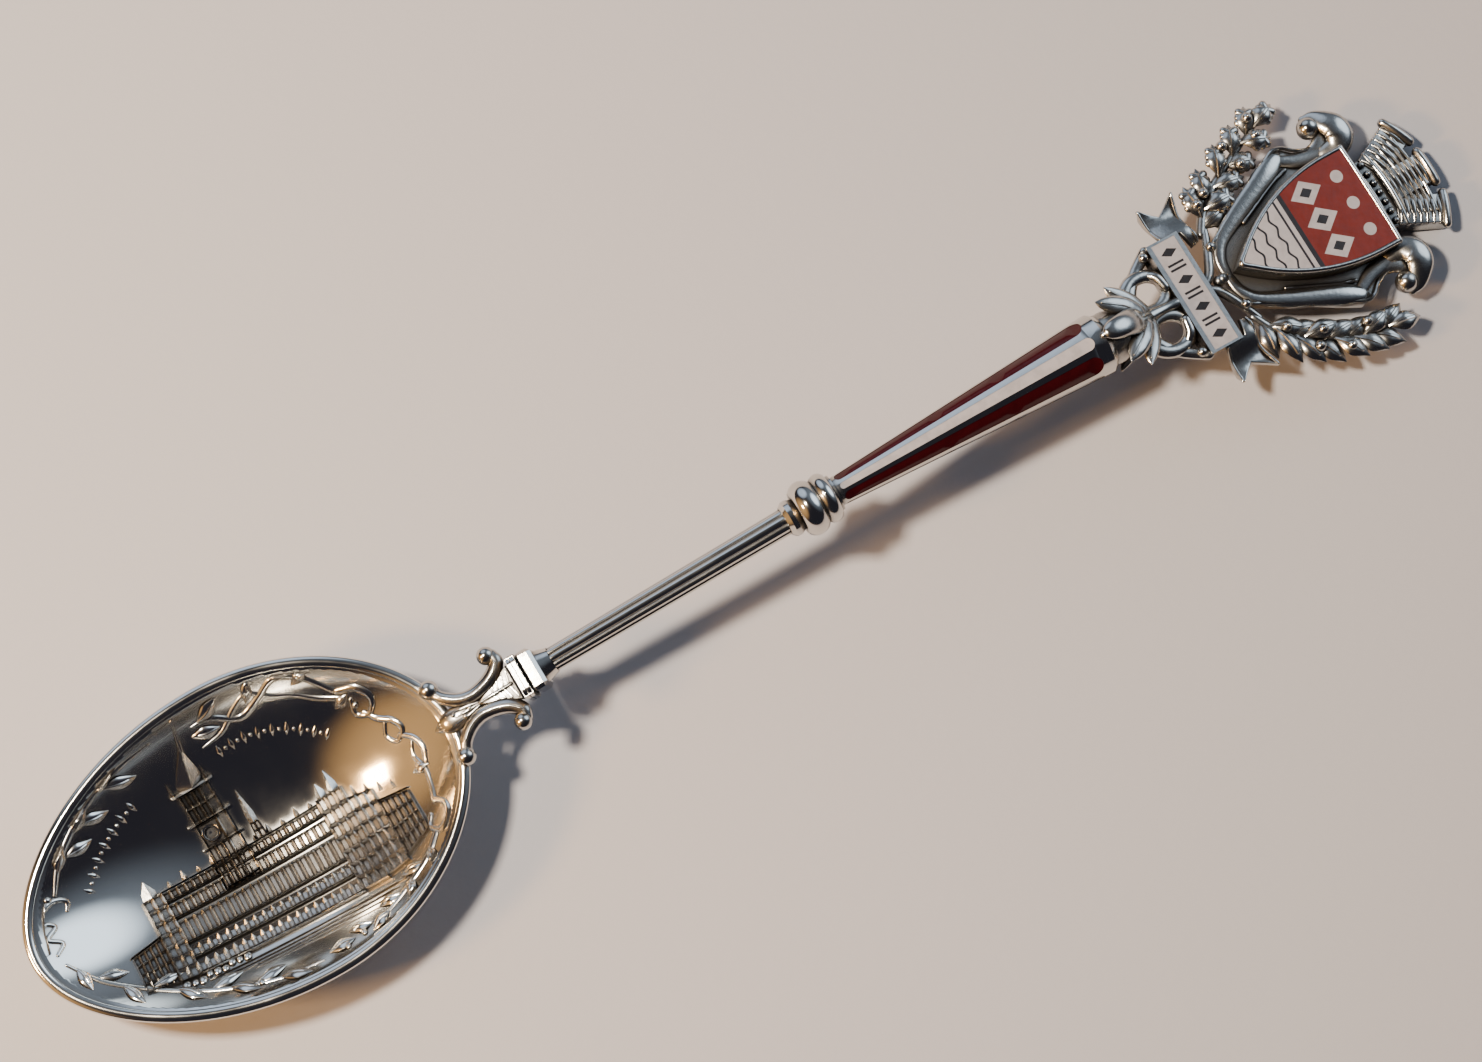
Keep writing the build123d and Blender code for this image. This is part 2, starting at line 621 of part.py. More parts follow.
def eyes_outline():
    shapes = Sketch()
    for i in range(LOZENGES):
        shapes += Pos(LOZENGE_AT, (i - (LOZENGES - 1) / 2) * LOZENGE_PITCH) * lozenge(LOZENGE_EYE)
    return shapes


def lines_outline():
    """The thick and thin lines under the field and the waves in the base."""
    inside = shield_outline()
    lines = Pos(FIELD_LINE, 0) * Rectangle(THICK_LINE, 2 * SHIELD_HALF)
    thin = FIELD_LINE - THICK_LINE / 2 - LINE_GAP - THIN_LINE / 2
    lines += Pos(thin, 0) * Rectangle(THIN_LINE, 2 * SHIELD_HALF)
    for i in range(WAVES):
        lines += wave(thin - WAVE_PITCH * (i + WAVE_START))
    return lines & inside


def enamel_slab(outline):
    return FINIAL * slab(outline, SHIELD_FLOOR, SHIELD_FRONT - ENAMEL_SINK)


def field_outline():
    above = Pos(FIELD_LINE + 2 * SHIELD_HALF, 0) * Rectangle(4 * SHIELD_HALF, 4 * SHIELD_HALF)
    return shield_outline() & above


# --- cartouche, crown and branches ----------------------------------------------------------

FRAME_FOOT = [(12.4, 0), (12.55, 1.6), (13.2, 3.0)]
FRAME_SHOULDER = [(18.6, 5.6), (20.9, 6.75), (22.9, 7.65)]
FRAME_HOLLOW = [(22.9, 7.65), (24.0, 6.5), (25.4, 6.15)]
EAR_INSIDE = [(26.6, 6.3), (27.4, 7.4), (26.9, 8.5)]
EAR_OUTSIDE = [(26.9, 8.5), (28.5, 7.6), (29.1, 5.9)]
EAR_ROOT = [(29.1, 5.9), (28.5, 4.9), (CROWN_START, 4.5)]


def cartouche_outline():
    """Half of the strapwork frame: blunt foot, long flank, shoulder, hollow and curled ear."""
    return closed(
        ThreePointArc(*FRAME_FOOT),
        Line(FRAME_FOOT[-1], FRAME_SHOULDER[0]),
        ThreePointArc(*FRAME_SHOULDER),
        ThreePointArc(*FRAME_HOLLOW),
        Line(FRAME_HOLLOW[-1], EAR_INSIDE[0]),
        ThreePointArc(*EAR_INSIDE),
        ThreePointArc(*EAR_OUTSIDE),
        ThreePointArc(*EAR_ROOT),
        Line(EAR_ROOT[-1], (CROWN_START, 0)),
        Line((CROWN_START, 0), FRAME_FOOT[0]))


def cartouche():
    solid = slab(cartouche_outline(), 0, PLATE_THICKNESS)
    strap = Box(EAR_STRAP_WIDTH, EAR_STRAP_LENGTH, EAR_STRAP_HEIGHT)
    strap = fillet(strap.edges().filter_by(Axis.Z, reverse=True), EAR_STRAP_ROUND)
    solid += Pos(*EAR_STRAP_AT, PLATE_THICKNESS) * Rot(0, 0, EAR_STRAP_TURN) * strap
    slot = slab(strand(SLOT_RUN, SLOT_WIDTH), PLATE_THICKNESS - SLOT_DEPTH, PLATE_THICKNESS + SLOT_DEPTH)
    bead = slab(Pos(FOOT_BEAD_AT, 0) * Circle(FOOT_BEAD_RADIUS), 0, PLATE_THICKNESS - FOOT_BEAD_STEP)
    return FINIAL * (both_sides(solid - slot) + bead)


def ear_balls():
    return [FINIAL * ball(EAR_U, way * EAR_Y, EAR_BALL_LIFT, EAR_BALL_RADIUS) for way in (1, -1)]


def crown_band():
    """The band of the wall crown, with two raised rims and a row of studs."""
    middle = CROWN_START + CROWN_BAND_LENGTH / 2
    wall = Rectangle(CROWN_BAND_LENGTH, 2 * CROWN_BAND_HALF)
    rim = Rectangle(BAND_RIM_WIDTH, 2 * CROWN_BAND_HALF)
    solid = slab(Pos(middle, 0) * wall, 0, CROWN_THICKNESS - BAND_STEP)
    for u in (CROWN_START + BAND_RIM_FIRST, CROWN_START + CROWN_BAND_LENGTH - BAND_RIM_LAST):
        solid += slab(Pos(u, 0) * rim, BAND_RIM_BOTTOM, CROWN_THICKNESS)
    for i in range(STUDS):
        across = (i - (STUDS - 1) / 2) * STUD_PITCH
        solid += ball(middle + STUD_SHIFT, across, CROWN_THICKNESS - STUD_SINK, STUD_RADIUS)
    return FINIAL * solid


def tower(length):
    """One flaring tower with a wider cap and grooves between its courses."""
    cap = length - TOWER_CAP_LENGTH
    neck = TOWER_END_HALF - TOWER_CAP_STEP
    left = [(0, TOWER_START_HALF), (cap, neck), (cap, TOWER_END_HALF), (length, TOWER_END_HALF)]
    right = [(u, -y) for u, y in reversed(left)]
    solid = slab(make_face(Polyline(*left, *right, close=True)), 0, CROWN_THICKNESS)
    pitch = cap / TOWER_COURSES
    for i in range(TOWER_COURSES):
        groove = Pos((i + 0.5) * pitch, 0) * Rectangle(COURSE_GROOVE, 3 * TOWER_END_HALF)
        solid -= slab(groove, CROWN_THICKNESS - COURSE_GROOVE, CROWN_THICKNESS + COURSE_GROOVE)
    return solid


def crown_towers():
    """Three towers that fan out, with a lower wall between them."""
    start = CROWN_START + CROWN_BAND_LENGTH
    solid = Pos(start, 0, 0) * tower(FINIAL_SPAN - start)
    for way in (1, -1):
        root = Pos(start - SIDE_TOWER_BACK, way * (CROWN_BAND_HALF - TOWER_START_HALF - SIDE_TOWER_IN), 0)
        solid += root * Rot(0, 0, way * TOWER_SPLAY) * tower(SIDE_TOWER_LENGTH)
    wall = [(start, CROWN_BAND_HALF - TOWER_START_HALF), (start + WALL_LENGTH, WALL_HALF)]
    wall += [(u, -y) for u, y in reversed(wall)]
    solid += slab(make_face(Polyline(*wall, close=True)), 0, CROWN_THICKNESS - WALL_STEP)
    return FINIAL * solid


LAUREL_STEM = [(12.9, -4.0), (14.2, -7.0), (16.2, -8.6), (18.4, -10.0), (20.2, -10.2)]
LAUREL_LEAVES = [((13.3, -4.6), (14.6, -7.9)), ((13.8, -5.6), (17.0, -6.6)), ((15.4, -7.9), (19.9, -7.4)),
                 ((17.2, -9.2), (21.2, -8.4)), ((19.4, -10.0), (23.9, -8.4)), ((19.4, -9.9), (24.5, -9.6)),
                 ((19.2, -10.2), (23.8, -11.2)), ((13.7, -6.0), (16.4, -5.1))]
OAK_STEM = [(12.9, 4.2), (14.8, 6.4), (17.4, 8.2), (20.4, 8.9), (22.4, 9.5)]
OAK_LEAVES = [((13.2, 5.2), (13.9, 8.0)), ((14.4, 6.0), (15.4, 8.4)), ((15.6, 6.6), (19.2, 7.3)),
              ((16.8, 7.7), (18.2, 10.3)), ((18.2, 8.4), (20.6, 10.2)), ((19.8, 8.6), (23.8, 8.7)),
              ((21.4, 9.2), (23.2, 11.3)), ((22.0, 9.4), (25.0, 9.7)), ((21.2, 8.9), (24.2, 10.9))]
LAUREL_LEAF_WIDTH = 1.15
OAK_LEAF_WIDTH = 1.5
STEM_WIDTH = 0.8
BERRIES = [(15.3, -8.1), (19.0, -8.9), (19.5, -10.1), (19.1, 9.4), (14.2, 6.5), (22.8, 10.2)]


def branch(stem, leaves, leaf_width):
    """Stem and leaves of one side branch, cast in one with each other."""
    outline = strand(stem, STEM_WIDTH)
    for start, end in leaves:
        outline += vesica(start, end, leaf_width)
    return FINIAL * slab(outline, BRANCH_BOTTOM, BRANCH_TOP)


def berries():
    return [FINIAL * ball(u, y, BRANCH_TOP, BERRY_RADIUS) for u, y in BERRIES]


# --- assembly -------------------------------------------------------------------------------

def less(shapes, *others):
    """Shapes with the space of their neighbours taken out, so that they meet face to face."""
    kept = []
    for shape in shapes:
        for other in others:
            shape = shape - other
        kept += [solid for solid in shape.solids() if solid.volume > SLIVER]
    return Compound(kept)


def flipped(shape):
    return mirror(shape, Plane.XZ)


def build():
    nodes = {}
    nodes["bowl"] = bowl()
    nodes["lower_shaft"] = lower_shaft()
    nodes["upper_shaft"] = upper_shaft()

    nodes["neck_block"] = less([neck_block()], nodes["lower_shaft"])
    bead = less([rim_bead()], nodes["bowl"])
    end_ball = less([horn_ball()], nodes["neck_block"])
    bar = less([scroll_bar()], nodes["bowl"], nodes["neck_block"], rim_bead(), horn_ball())
    nodes["scroll_bar_left"] = bar
    nodes["scroll_bar_right"] = flipped(bar)
    bars = [nodes["scroll_bar_left"], nodes["scroll_bar_right"]]
    nodes["rim_beads"] = Compound([bead, flipped(bead)])
    nodes["horn_balls"] = Compound([end_ball, flipped(end_ball)])
    nodes["neck_wedge"] = less([neck_wedge()], *bars)
    nodes["heel_leaf"] = less([heel_leaf()], nodes["bowl"], nodes["neck_wedge"], *bars)
    nodes["knop"] = less([knop()], nodes["lower_shaft"], nodes["upper_shaft"])
    nodes["enamel_shaft_white"] = shaft_enamel(white_panels())
    nodes["enamel_shaft_red"] = shaft_enamel(red_panels())

    nodes["calyx"] = less([calyx()], nodes["upper_shaft"])
    nodes["cartouche"] = less([cartouche()], *ear_balls())
    nodes["ribbon_plate"] = ribbon_plate()
    nodes["enamel_ribbon"] = ribbon_enamel()
    nodes["enamel_ribbon_marks"] = ribbon_marks()
    nodes["stem_loops"] = less([stem_loops()], nodes["cartouche"], nodes["ribbon_plate"], nodes["calyx"])
    tail = less([ribbon_tail()], nodes["stem_loops"], nodes["cartouche"], nodes["ribbon_plate"])
    nodes["ribbon_tail_left"] = tail
    nodes["ribbon_tail_right"] = flipped(tail)

    nodes["shield_setting"] = shield_setting()
    nodes["cartouche_balls"] = Compound(ear_balls())
    lines = lines_outline()
    charges = charges_outline()
    eyes = eyes_outline()
    field = field_outline()
    nodes["enamel_red_field"] = enamel_slab(field - charges - lines)
    nodes["enamel_white_base"] = enamel_slab(shield_outline() - field - lines)
    nodes["enamel_white_charges"] = enamel_slab(charges - eyes)
    nodes["enamel_black_lines"] = enamel_slab(lines + eyes)
    nodes["crown_band"] = crown_band()
    nodes["crown_towers"] = less([crown_towers()], nodes["crown_band"])

    tails = [nodes["ribbon_tail_left"], nodes["ribbon_tail_right"]]
    taken = [nodes["cartouche"], nodes["stem_loops"], *tails]
    nodes["branch_left"] = less([branch(OAK_STEM, OAK_LEAVES, OAK_LEAF_WIDTH)], *taken)
    nodes["branch_right"] = less([branch(LAUREL_STEM, LAUREL_LEAVES, LAUREL_LEAF_WIDTH)], *taken)
    nodes["berries"] = less(berries(), nodes["branch_left"], nodes["branch_right"])
    return nodes


os.makedirs("parts", exist_ok=True)
for name, shape in build().items():
    export_step(shape, f"parts/{name}.step")
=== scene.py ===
import json
from math import asin, atan2, cos, pi, radians, sin, sqrt

import bmesh
import bpy
from mathutils import Matrix, Vector


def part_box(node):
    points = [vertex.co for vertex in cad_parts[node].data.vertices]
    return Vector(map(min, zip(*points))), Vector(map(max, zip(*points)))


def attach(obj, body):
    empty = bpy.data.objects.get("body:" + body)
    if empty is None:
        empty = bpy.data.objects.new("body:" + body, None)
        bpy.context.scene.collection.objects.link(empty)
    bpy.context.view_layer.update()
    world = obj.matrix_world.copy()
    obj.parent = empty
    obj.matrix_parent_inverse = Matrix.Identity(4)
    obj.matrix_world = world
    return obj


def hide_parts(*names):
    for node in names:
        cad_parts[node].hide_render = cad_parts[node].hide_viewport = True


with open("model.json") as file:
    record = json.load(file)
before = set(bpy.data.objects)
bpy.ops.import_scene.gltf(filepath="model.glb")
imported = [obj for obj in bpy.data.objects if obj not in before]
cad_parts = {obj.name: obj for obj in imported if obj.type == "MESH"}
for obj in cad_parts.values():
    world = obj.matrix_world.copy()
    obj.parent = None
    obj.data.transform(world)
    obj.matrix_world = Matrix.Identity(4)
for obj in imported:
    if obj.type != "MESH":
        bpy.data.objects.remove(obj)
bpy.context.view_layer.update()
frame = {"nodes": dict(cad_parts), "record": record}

bl_info = {
    "name": "Souvenir spoon",
    "version": (1, 0, 0),
    "blender": (4, 5, 0),
    "location": "3D View > Sidebar > Spoon",
    "description": "Silver and enamel detail for a souvenir teaspoon",
    "category": "Object",
}

MM = 0.001
UP = Vector((0, 0, 1))


# --- places on the spoon --------------------------------------------------------------------------

def mount(name):
    """One of the record's mounts."""
    return next(m for m in frame["record"]["mounts"] if m["name"] == name)


def level_place(origin, along):
    """Matrix from millimetres on a work plane, X along, Y level across, to the row frame."""
    along = along.normalized()
    across = Vector((0, 1, 0))
    up = along.cross(across)
    turn = Matrix((along, across, up)).transposed().to_4x4()
    return Matrix.Translation(origin) @ turn @ Matrix.Scale(MM, 4)


BOWL_LOW, BOWL_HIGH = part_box("bowl")
BACK = mount("finial_back")
BACK_NORMAL = -Vector(BACK["axis"])
FINIAL_ALONG = Vector((BACK_NORMAL.z, 0, -BACK_NORMAL.x))
BACK_AT = 20.0                       # the mount's distance from the shaft's end, mm
FINIAL = level_place(Vector(BACK["pos_m"]) - FINIAL_ALONG * BACK_AT * MM, FINIAL_ALONG)
ROW = Matrix.Scale(MM, 4)


# --- sizes and colours a user may change ----------------------------------------------------------

def linear(hex_colour):
    """An sRGB hex colour as linear red, green, blue."""
    values = [int(hex_colour[i:i + 2], 16) / 255 for i in (1, 3, 5)]
    return tuple(v / 12.92 if v <= 0.04045 else ((v + 0.055) / 1.055) ** 2.4 for v in values)


def size(name, description, default, unit="LENGTH"):
    return bpy.props.FloatProperty(name=name, description=description, default=default, unit=unit)


def number(name, description, default):
    return bpy.props.FloatProperty(name=name, description=description, default=default)


def colour(name, description, hex_colour):
    return bpy.props.FloatVectorProperty(name=name, description=description, subtype="COLOR", size=3,
                                         min=0, max=1, default=linear(hex_colour))


class SpoonSizes(bpy.types.PropertyGroup):
    wall: size("Bowl wall", "Thickness of the struck bowl", 0.8 * MM)
    deep_share: number("Deepest point", "Share of the bowl's length from tip to deepest point", 0.5483)
    relief: size("Relief height", "How far the town hall stands out of the bowl", 0.3 * MM)
    neck_lift: size("Neck lift", "Scroll bars' axis above the rim", 0.55 * MM)
    neck_rise: size("Neck rise", "Climb from the heel to the lower shaft", 1.25 * MM)


class SpoonColours(bpy.types.PropertyGroup):
    silver: colour("Silver", "Polished silver", "#F1EEE8")
    oxide: colour("Oxide", "Dark sulphide left in the recesses", "#1E1B1C")
    white: colour("White enamel", "Opaque white glass", "#969296")
    red: colour("Red enamel", "Opaque red glass of the shield", "#581706")
    clear_red: colour("Clear red enamel", "Deep red glass over bright-cut silver", "#2C0509")
    black: colour("Black enamel", "Black glass lines", "#1B181A")
    floor: colour("Floor", "Pale paper", "#9E9CA1")


def sizes():
    return bpy.context.scene.spoon_sizes


def colours():
    return bpy.context.scene.spoon_colours


# --- materials ------------------------------------------------------------------------------------

def add(tree, kind, **settings):
    """Adds a node: settings are its properties, its sockets' values or the sockets that feed them."""
    made = tree.nodes.new(kind)
    for key, value in settings.items():
        if hasattr(made, key):
            setattr(made, key, value)
            continue
        name = key.replace("_", " ")
        socket = next(s for s in made.inputs if s.name.lower() == name.lower() and s.enabled)
        if isinstance(value, bpy.types.NodeSocket):
            tree.links.new(value, socket)
        else:
            socket.default_value = value
    return made


def rgba(rgb):
    return (*rgb, 1)


def new_material(name):
    made = bpy.data.materials.new(name)
    made.use_nodes = True
    tree = made.node_tree
    shader = tree.nodes["Principled BSDF"]
    place = add(tree, "ShaderNodeTexCoord").outputs["Object"]
    return made, tree, shader, place


def feed(tree, socket, shader, name):
    tree.links.new(socket, shader.inputs[name])


OXIDE_ROUGHNESS = 0.35     # what full oxide adds to the silver's roughness


def silver(name, rough, shine, recess_mm, oxide, skin_mm, skin_depth_mm, black_below=0.45):
    """Silver: bright where a mop reaches, dark with sulphide in recesses narrower than recess_mm.

    shine is how much of the light the thin tarnish on its open places lets back, and black_below is
    the share of open sky under which a recess is fully dark.
    """
    made, tree, shader, place = new_material(name)
    shader.inputs["Metallic"].default_value = 1.0
    open_share = add(tree, "ShaderNodeAmbientOcclusion", samples=6, Distance=recess_mm * MM).outputs["AO"]
    mask = add(tree, "ShaderNodeMapRange", Value=open_share, From_Min=black_below, From_Max=0.97,
               To_Min=oxide, To_Max=0.0).outputs["Result"]
    cloud = add(tree, "ShaderNodeTexNoise", Vector=place, Scale=1 / (3.0 * MM), Detail=3.0).outputs["Fac"]
    open_silver = rgba([v * shine for v in colours().silver])
    tint = add(tree, "ShaderNodeMix", data_type="RGBA", Factor=mask, A=open_silver,
               B=rgba(colours().oxide)).outputs["Result"]
    feed(tree, tint, shader, "Base Color")
    wear = add(tree, "ShaderNodeMapRange", Value=cloud, From_Min=0.3, From_Max=0.7, To_Min=rough * 0.8,
               To_Max=rough * 1.3).outputs["Result"]
    dull = add(tree, "ShaderNodeMath", operation="MULTIPLY_ADD")
    tree.links.new(mask, dull.inputs[0])
    dull.inputs[1].default_value = OXIDE_ROUGHNESS
    tree.links.new(wear, dull.inputs[2])
    feed(tree, dull.outputs[0], shader, "Roughness")
    skin = add(tree, "ShaderNodeTexNoise", Vector=place, Scale=1 / (skin_mm * MM), Detail=4.0)
    bump = add(tree, "ShaderNodeBump", Height=skin.outputs["Fac"], Distance=skin_depth_mm * MM,
               Strength=1.0).outputs["Normal"]
    feed(tree, bump, shader, "Normal")
    return made


def enamel(name, hex_or_rgb, rough, ripple_mm, coat):
    """Fired glass enamel: a glossy fused surface with a faint orange-peel ripple."""
    made, tree, shader, place = new_material(name)
    mottle = add(tree, "ShaderNodeTexNoise", Vector=place, Scale=1 / (0.8 * MM),
                 Detail=4.0).outputs["Fac"]
    deep = tuple(v * 0.85 for v in hex_or_rgb)
    ramp = add(tree, "ShaderNodeValToRGB", Fac=mottle)
    ramp.color_ramp.elements[0].position = 0.35
    ramp.color_ramp.elements[0].color = rgba(deep)
    ramp.color_ramp.elements[1].position = 0.6
    ramp.color_ramp.elements[1].color = rgba(hex_or_rgb)
    feed(tree, ramp.outputs["Color"], shader, "Base Color")
    shader.inputs["Roughness"].default_value = rough
    shader.inputs["IOR"].default_value = 1.4
    shader.inputs["Coat Weight"].default_value = coat
    shader.inputs["Coat Roughness"].default_value = 0.04
    ripple = add(tree, "ShaderNodeTexNoise", Vector=place, Scale=1 / (ripple_mm * MM), Detail=2.0)
    bump = add(tree, "ShaderNodeBump", Height=ripple.outputs["Fac"], Distance=0.012 * MM,
               Strength=1.0).outputs["Normal"]
    feed(tree, bump, shader, "Normal")
    return made


def paper(name):
    """Laid paper: a pale matt sheet with a fine tooth."""
    made, tree, shader, place = new_material(name)
    tooth = add(tree, "ShaderNodeTexNoise", Vector=place, Scale=1 / (1.1 * MM), Detail=5.0).outputs["Fac"]
    shader.inputs["Base Color"].default_value = rgba(colours().floor)
    shader.inputs["Roughness"].default_value = 0.75
    bump = add(tree, "ShaderNodeBump", Height=tooth, Distance=0.05 * MM, Strength=0.5).outputs["Normal"]
    feed(tree, bump, shader, "Normal")
    return made


MATERIALS = {}


def finish(name):
    """The named finish, made the first time that it is asked for."""
    if name not in MATERIALS:
        c = colours()
        recipes = {
            # mirror-polished struck sheet, only a faint tooth
            "polished_silver": lambda: silver("polished_silver", 0.09, 0.9, 0.5, 0.5, 1.6, 0.0012),
            # struck relief, not reached by the mop in its low places
            "struck_silver": lambda: silver("struck_silver", 0.11, 1.0, 0.5, 0.98, 0.25, 0.005, 0.66),
            # turned and filed bars, tarnished in their grooves
            "turned_silver": lambda: silver("turned_silver", 0.1, 0.75, 0.8, 0.97, 0.6, 0.004),
            # cast and chased silver, black in its recesses
            "cast_silver": lambda: silver("cast_silver", 0.15, 0.6, 1.8, 0.98, 0.35, 0.012),
            "white_enamel": lambda: enamel("white_enamel", c.white, 0.18, 0.7, 0.3),
            "red_enamel": lambda: enamel("red_enamel", c.red, 0.2, 0.7, 0.1),
            "clear_red_enamel": lambda: enamel("clear_red_enamel", c.clear_red, 0.14, 0.7, 0.0),
            "black_enamel": lambda: enamel("black_enamel", c.black, 0.25, 0.7, 0.1),
            "laid_paper": lambda: paper("laid_paper"),
        }
        MATERIALS[name] = recipes[name]()
    return MATERIALS[name]


# --- shaping --------------------------------------------------------------------------------------

def line_through(points, steps, closed=False):
    """A smooth line through points of any size, such as (x, y, height, radius)."""
    given = [Vector(p) for p in points]
    count = len(given)

    def at(i):
        if closed:
            return given[i % count]
        if i < 0:
            return 2 * given[0] - given[1]
        if i >= count:
            return 2 * given[-1] - given[-2]
        return given[i]

    line = []
    for i in range(count if closed else count - 1):
        a, b, c, d = at(i - 1), at(i), at(i + 1), at(i + 2)
        for k in range(steps):
            t = k / steps
            line.append(0.5 * (2 * b + (c - a) * t + (2 * a - 5 * b + 4 * c - d) * t * t
                               + (3 * b - a - 3 * c + d) * t ** 3))
    if not closed:
        line.append(given[-1].copy())
    return line


def strand(bm, points, flat=1.0, sides=12, steps=6, closed=False, up=UP):
    """A rounded strand along a smooth line; flat is its thickness over its width."""
    line = line_through(points, steps, closed)
    rings = []
    last = len(line) - 1
    for i, p in enumerate(line):
        before = line[i - 1] if closed or i > 0 else p
        after = line[(i + 1) % len(line)] if closed or i < last else p
        rings.append((p.to_3d(), (after.to_3d() - before.to_3d()).normalized(), max(p.w, 0.015)))
    if closed:
        rings.append(rings[0])
    else:
        cap = [k / 4 * pi / 2 for k in range(4)]
        centre, along, radius = rings[0]
        head = [(centre - along * radius * cos(a), along, radius * sin(a)) for a in cap]
        centre, along, radius = rings[-1]
        tail = [(centre + along * radius * cos(a), along, radius * sin(a)) for a in reversed(cap)]
        rings = head + rings + tail
    made = bmesh.ops.create_grid(bm, x_segments=len(rings) - 1, y_segments=sides, size=1)
    for v in made["verts"]:
        centre, along, radius = rings[round((v.co.x + 1) / 2 * (len(rings) - 1))]
        turn = (v.co.y + 1) * pi
        side = along.cross(up).normalized()
        lift = side.cross(along)
        v.co = centre + side * (radius * cos(turn)) + lift * (radius * flat * sin(turn))
    return made["verts"]


def ring_points(centre, half, height, lean, radius, count):
    """Points round an oval; lean is how much higher its far end along X is than its middle."""
    turns = [k * 2 * pi / count for k in range(count)]
    (x, y), (run, rise) = centre, half
    return [(x + run * cos(a), y + rise * sin(a), height + lean * cos(a), radius) for a in turns]


def mirrored(bm, build):
    """Builds something and its mirror image across the centre line."""
    build(bm)
    before = set(bm.verts)
    build(bm)
    bmesh.ops.scale(bm, vec=(1, -1, 1), verts=[v for v in bm.verts if v not in before])


def plate(bm, outline, bottom, top, bevel=0.12):
    """A flat plate with eased top edges over a closed outline of (x, y) points."""
    corners = [bm.verts.new((x, y, bottom)) for x, y in outline]
    base = bm.faces.new(corners)
    raised = bmesh.ops.extrude_face_region(bm, geom=[base])["geom"]
    verts = [g for g in raised if isinstance(g, bmesh.types.BMVert)]
    bmesh.ops.translate(bm, vec=(0, 0, top - bottom), verts=verts)
    cap = next(g for g in raised if isinstance(g, bmesh.types.BMFace))
    eased = bmesh.ops.bevel(bm, geom=list(cap.edges), offset=bevel, segments=3, profile=0.5,
                            affect="EDGES", material=-1)
    return list({v for f in eased["faces"] for v in f.verts} | set(corners) | set(verts))


def cut_across(bm, at, normal, clear_outer=False):
    """Cuts everything along a plane."""
    everything = bm.verts[:] + bm.edges[:] + bm.faces[:]
    return bmesh.ops.bisect_plane(bm, geom=everything, dist=1e-5, plane_co=at, plane_no=normal,
                                  clear_outer=clear_outer)


def dome(bm, x, y, height, radius, flat=1.0):
    """A cast bead: a ball that may be flattened."""
    made = bmesh.ops.create_uvsphere(bm, u_segments=20, v_segments=12, radius=radius)["verts"]
    bmesh.ops.scale(bm, vec=(1, 1, flat), verts=made)
    bmesh.ops.translate(bm, vec=(x, y, height), verts=made)
    return made


def leaf(bm, start, end, width, height, thick=0.32, arch=0.25):
    """A pointed leaf with a raised midrib, arched along its length."""
    shape = ((0.0, 0.0, 0.05), (0.25, 0.7, width * 0.36), (0.5, 1.0, width * 0.5),
             (0.75, 0.7, width * 0.34), (1.0, 0.0, 0.04))
    blade = [(*Vector(start).lerp(Vector(end), t), height + arch * rise, half) for t, rise, half in shape]
    strand(bm, blade, flat=thick, sides=10, steps=4)
    rib = [(x, y, h + r * thick, 0.02 + width * 0.07) for x, y, h, r in blade[:4]]
    strand(bm, rib, flat=0.8, sides=6, steps=3)


def mesh_object(name, bm, surface):
    mesh = bpy.data.meshes.new(name)
    bm.to_mesh(mesh)
    bm.free()
    mesh.materials.append(finish(surface))
    made = bpy.data.objects.new(name, mesh)
    bpy.context.scene.collection.objects.link(made)
    return made


def piece(name, bm, place, surface, nodes, sharp=45):
    """Finishes a mesh as one piece of the spoon that stands for CAD nodes."""
    bmesh.ops.remove_doubles(bm, verts=bm.verts, dist=0.001)
    bmesh.ops.recalc_face_normals(bm, faces=bm.faces)
    bmesh.ops.transform(bm, matrix=place, verts=bm.verts)
    made = mesh_object(name, bm, surface)
    made.data.shade_smooth()
    made.data.set_sharp_from_angle(angle=radians(sharp))
    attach(made, "root")
    if nodes:
        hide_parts(*nodes)
    return made


def cast_piece(node, bm, place):
    """A cast piece that stands for one CAD node."""
    return piece(f"{node}_cast", bm, place, "cast_silver", [node])


def coat_node(name, surface):
    """Gives a CAD node a finish."""
    mesh = frame["nodes"][name].data
    mesh.materials.clear()
    mesh.materials.append(finish(surface))


# --- bowl -----------------------------------------------------------------------------------------

RIM_HALF_WIDTH = 0.47      # rolled edge, mm
RIM_FLAT = 0.65            # its thickness over its width
RIM_POINTS = 48
LIP_BELOW_RIM = 0.25       # where the sheet ends inside the rolled edge, mm
WORK_BELOW_RIM = 0.55      # relief stays at least this far under the rim, mm
SWEEP = radians(66)        # half the arc that makes the sheet, cut down to the rim afterwards
SWEEP_STEPS = 96
PROFILE_STEPS = 65         # from the deepest point to each end


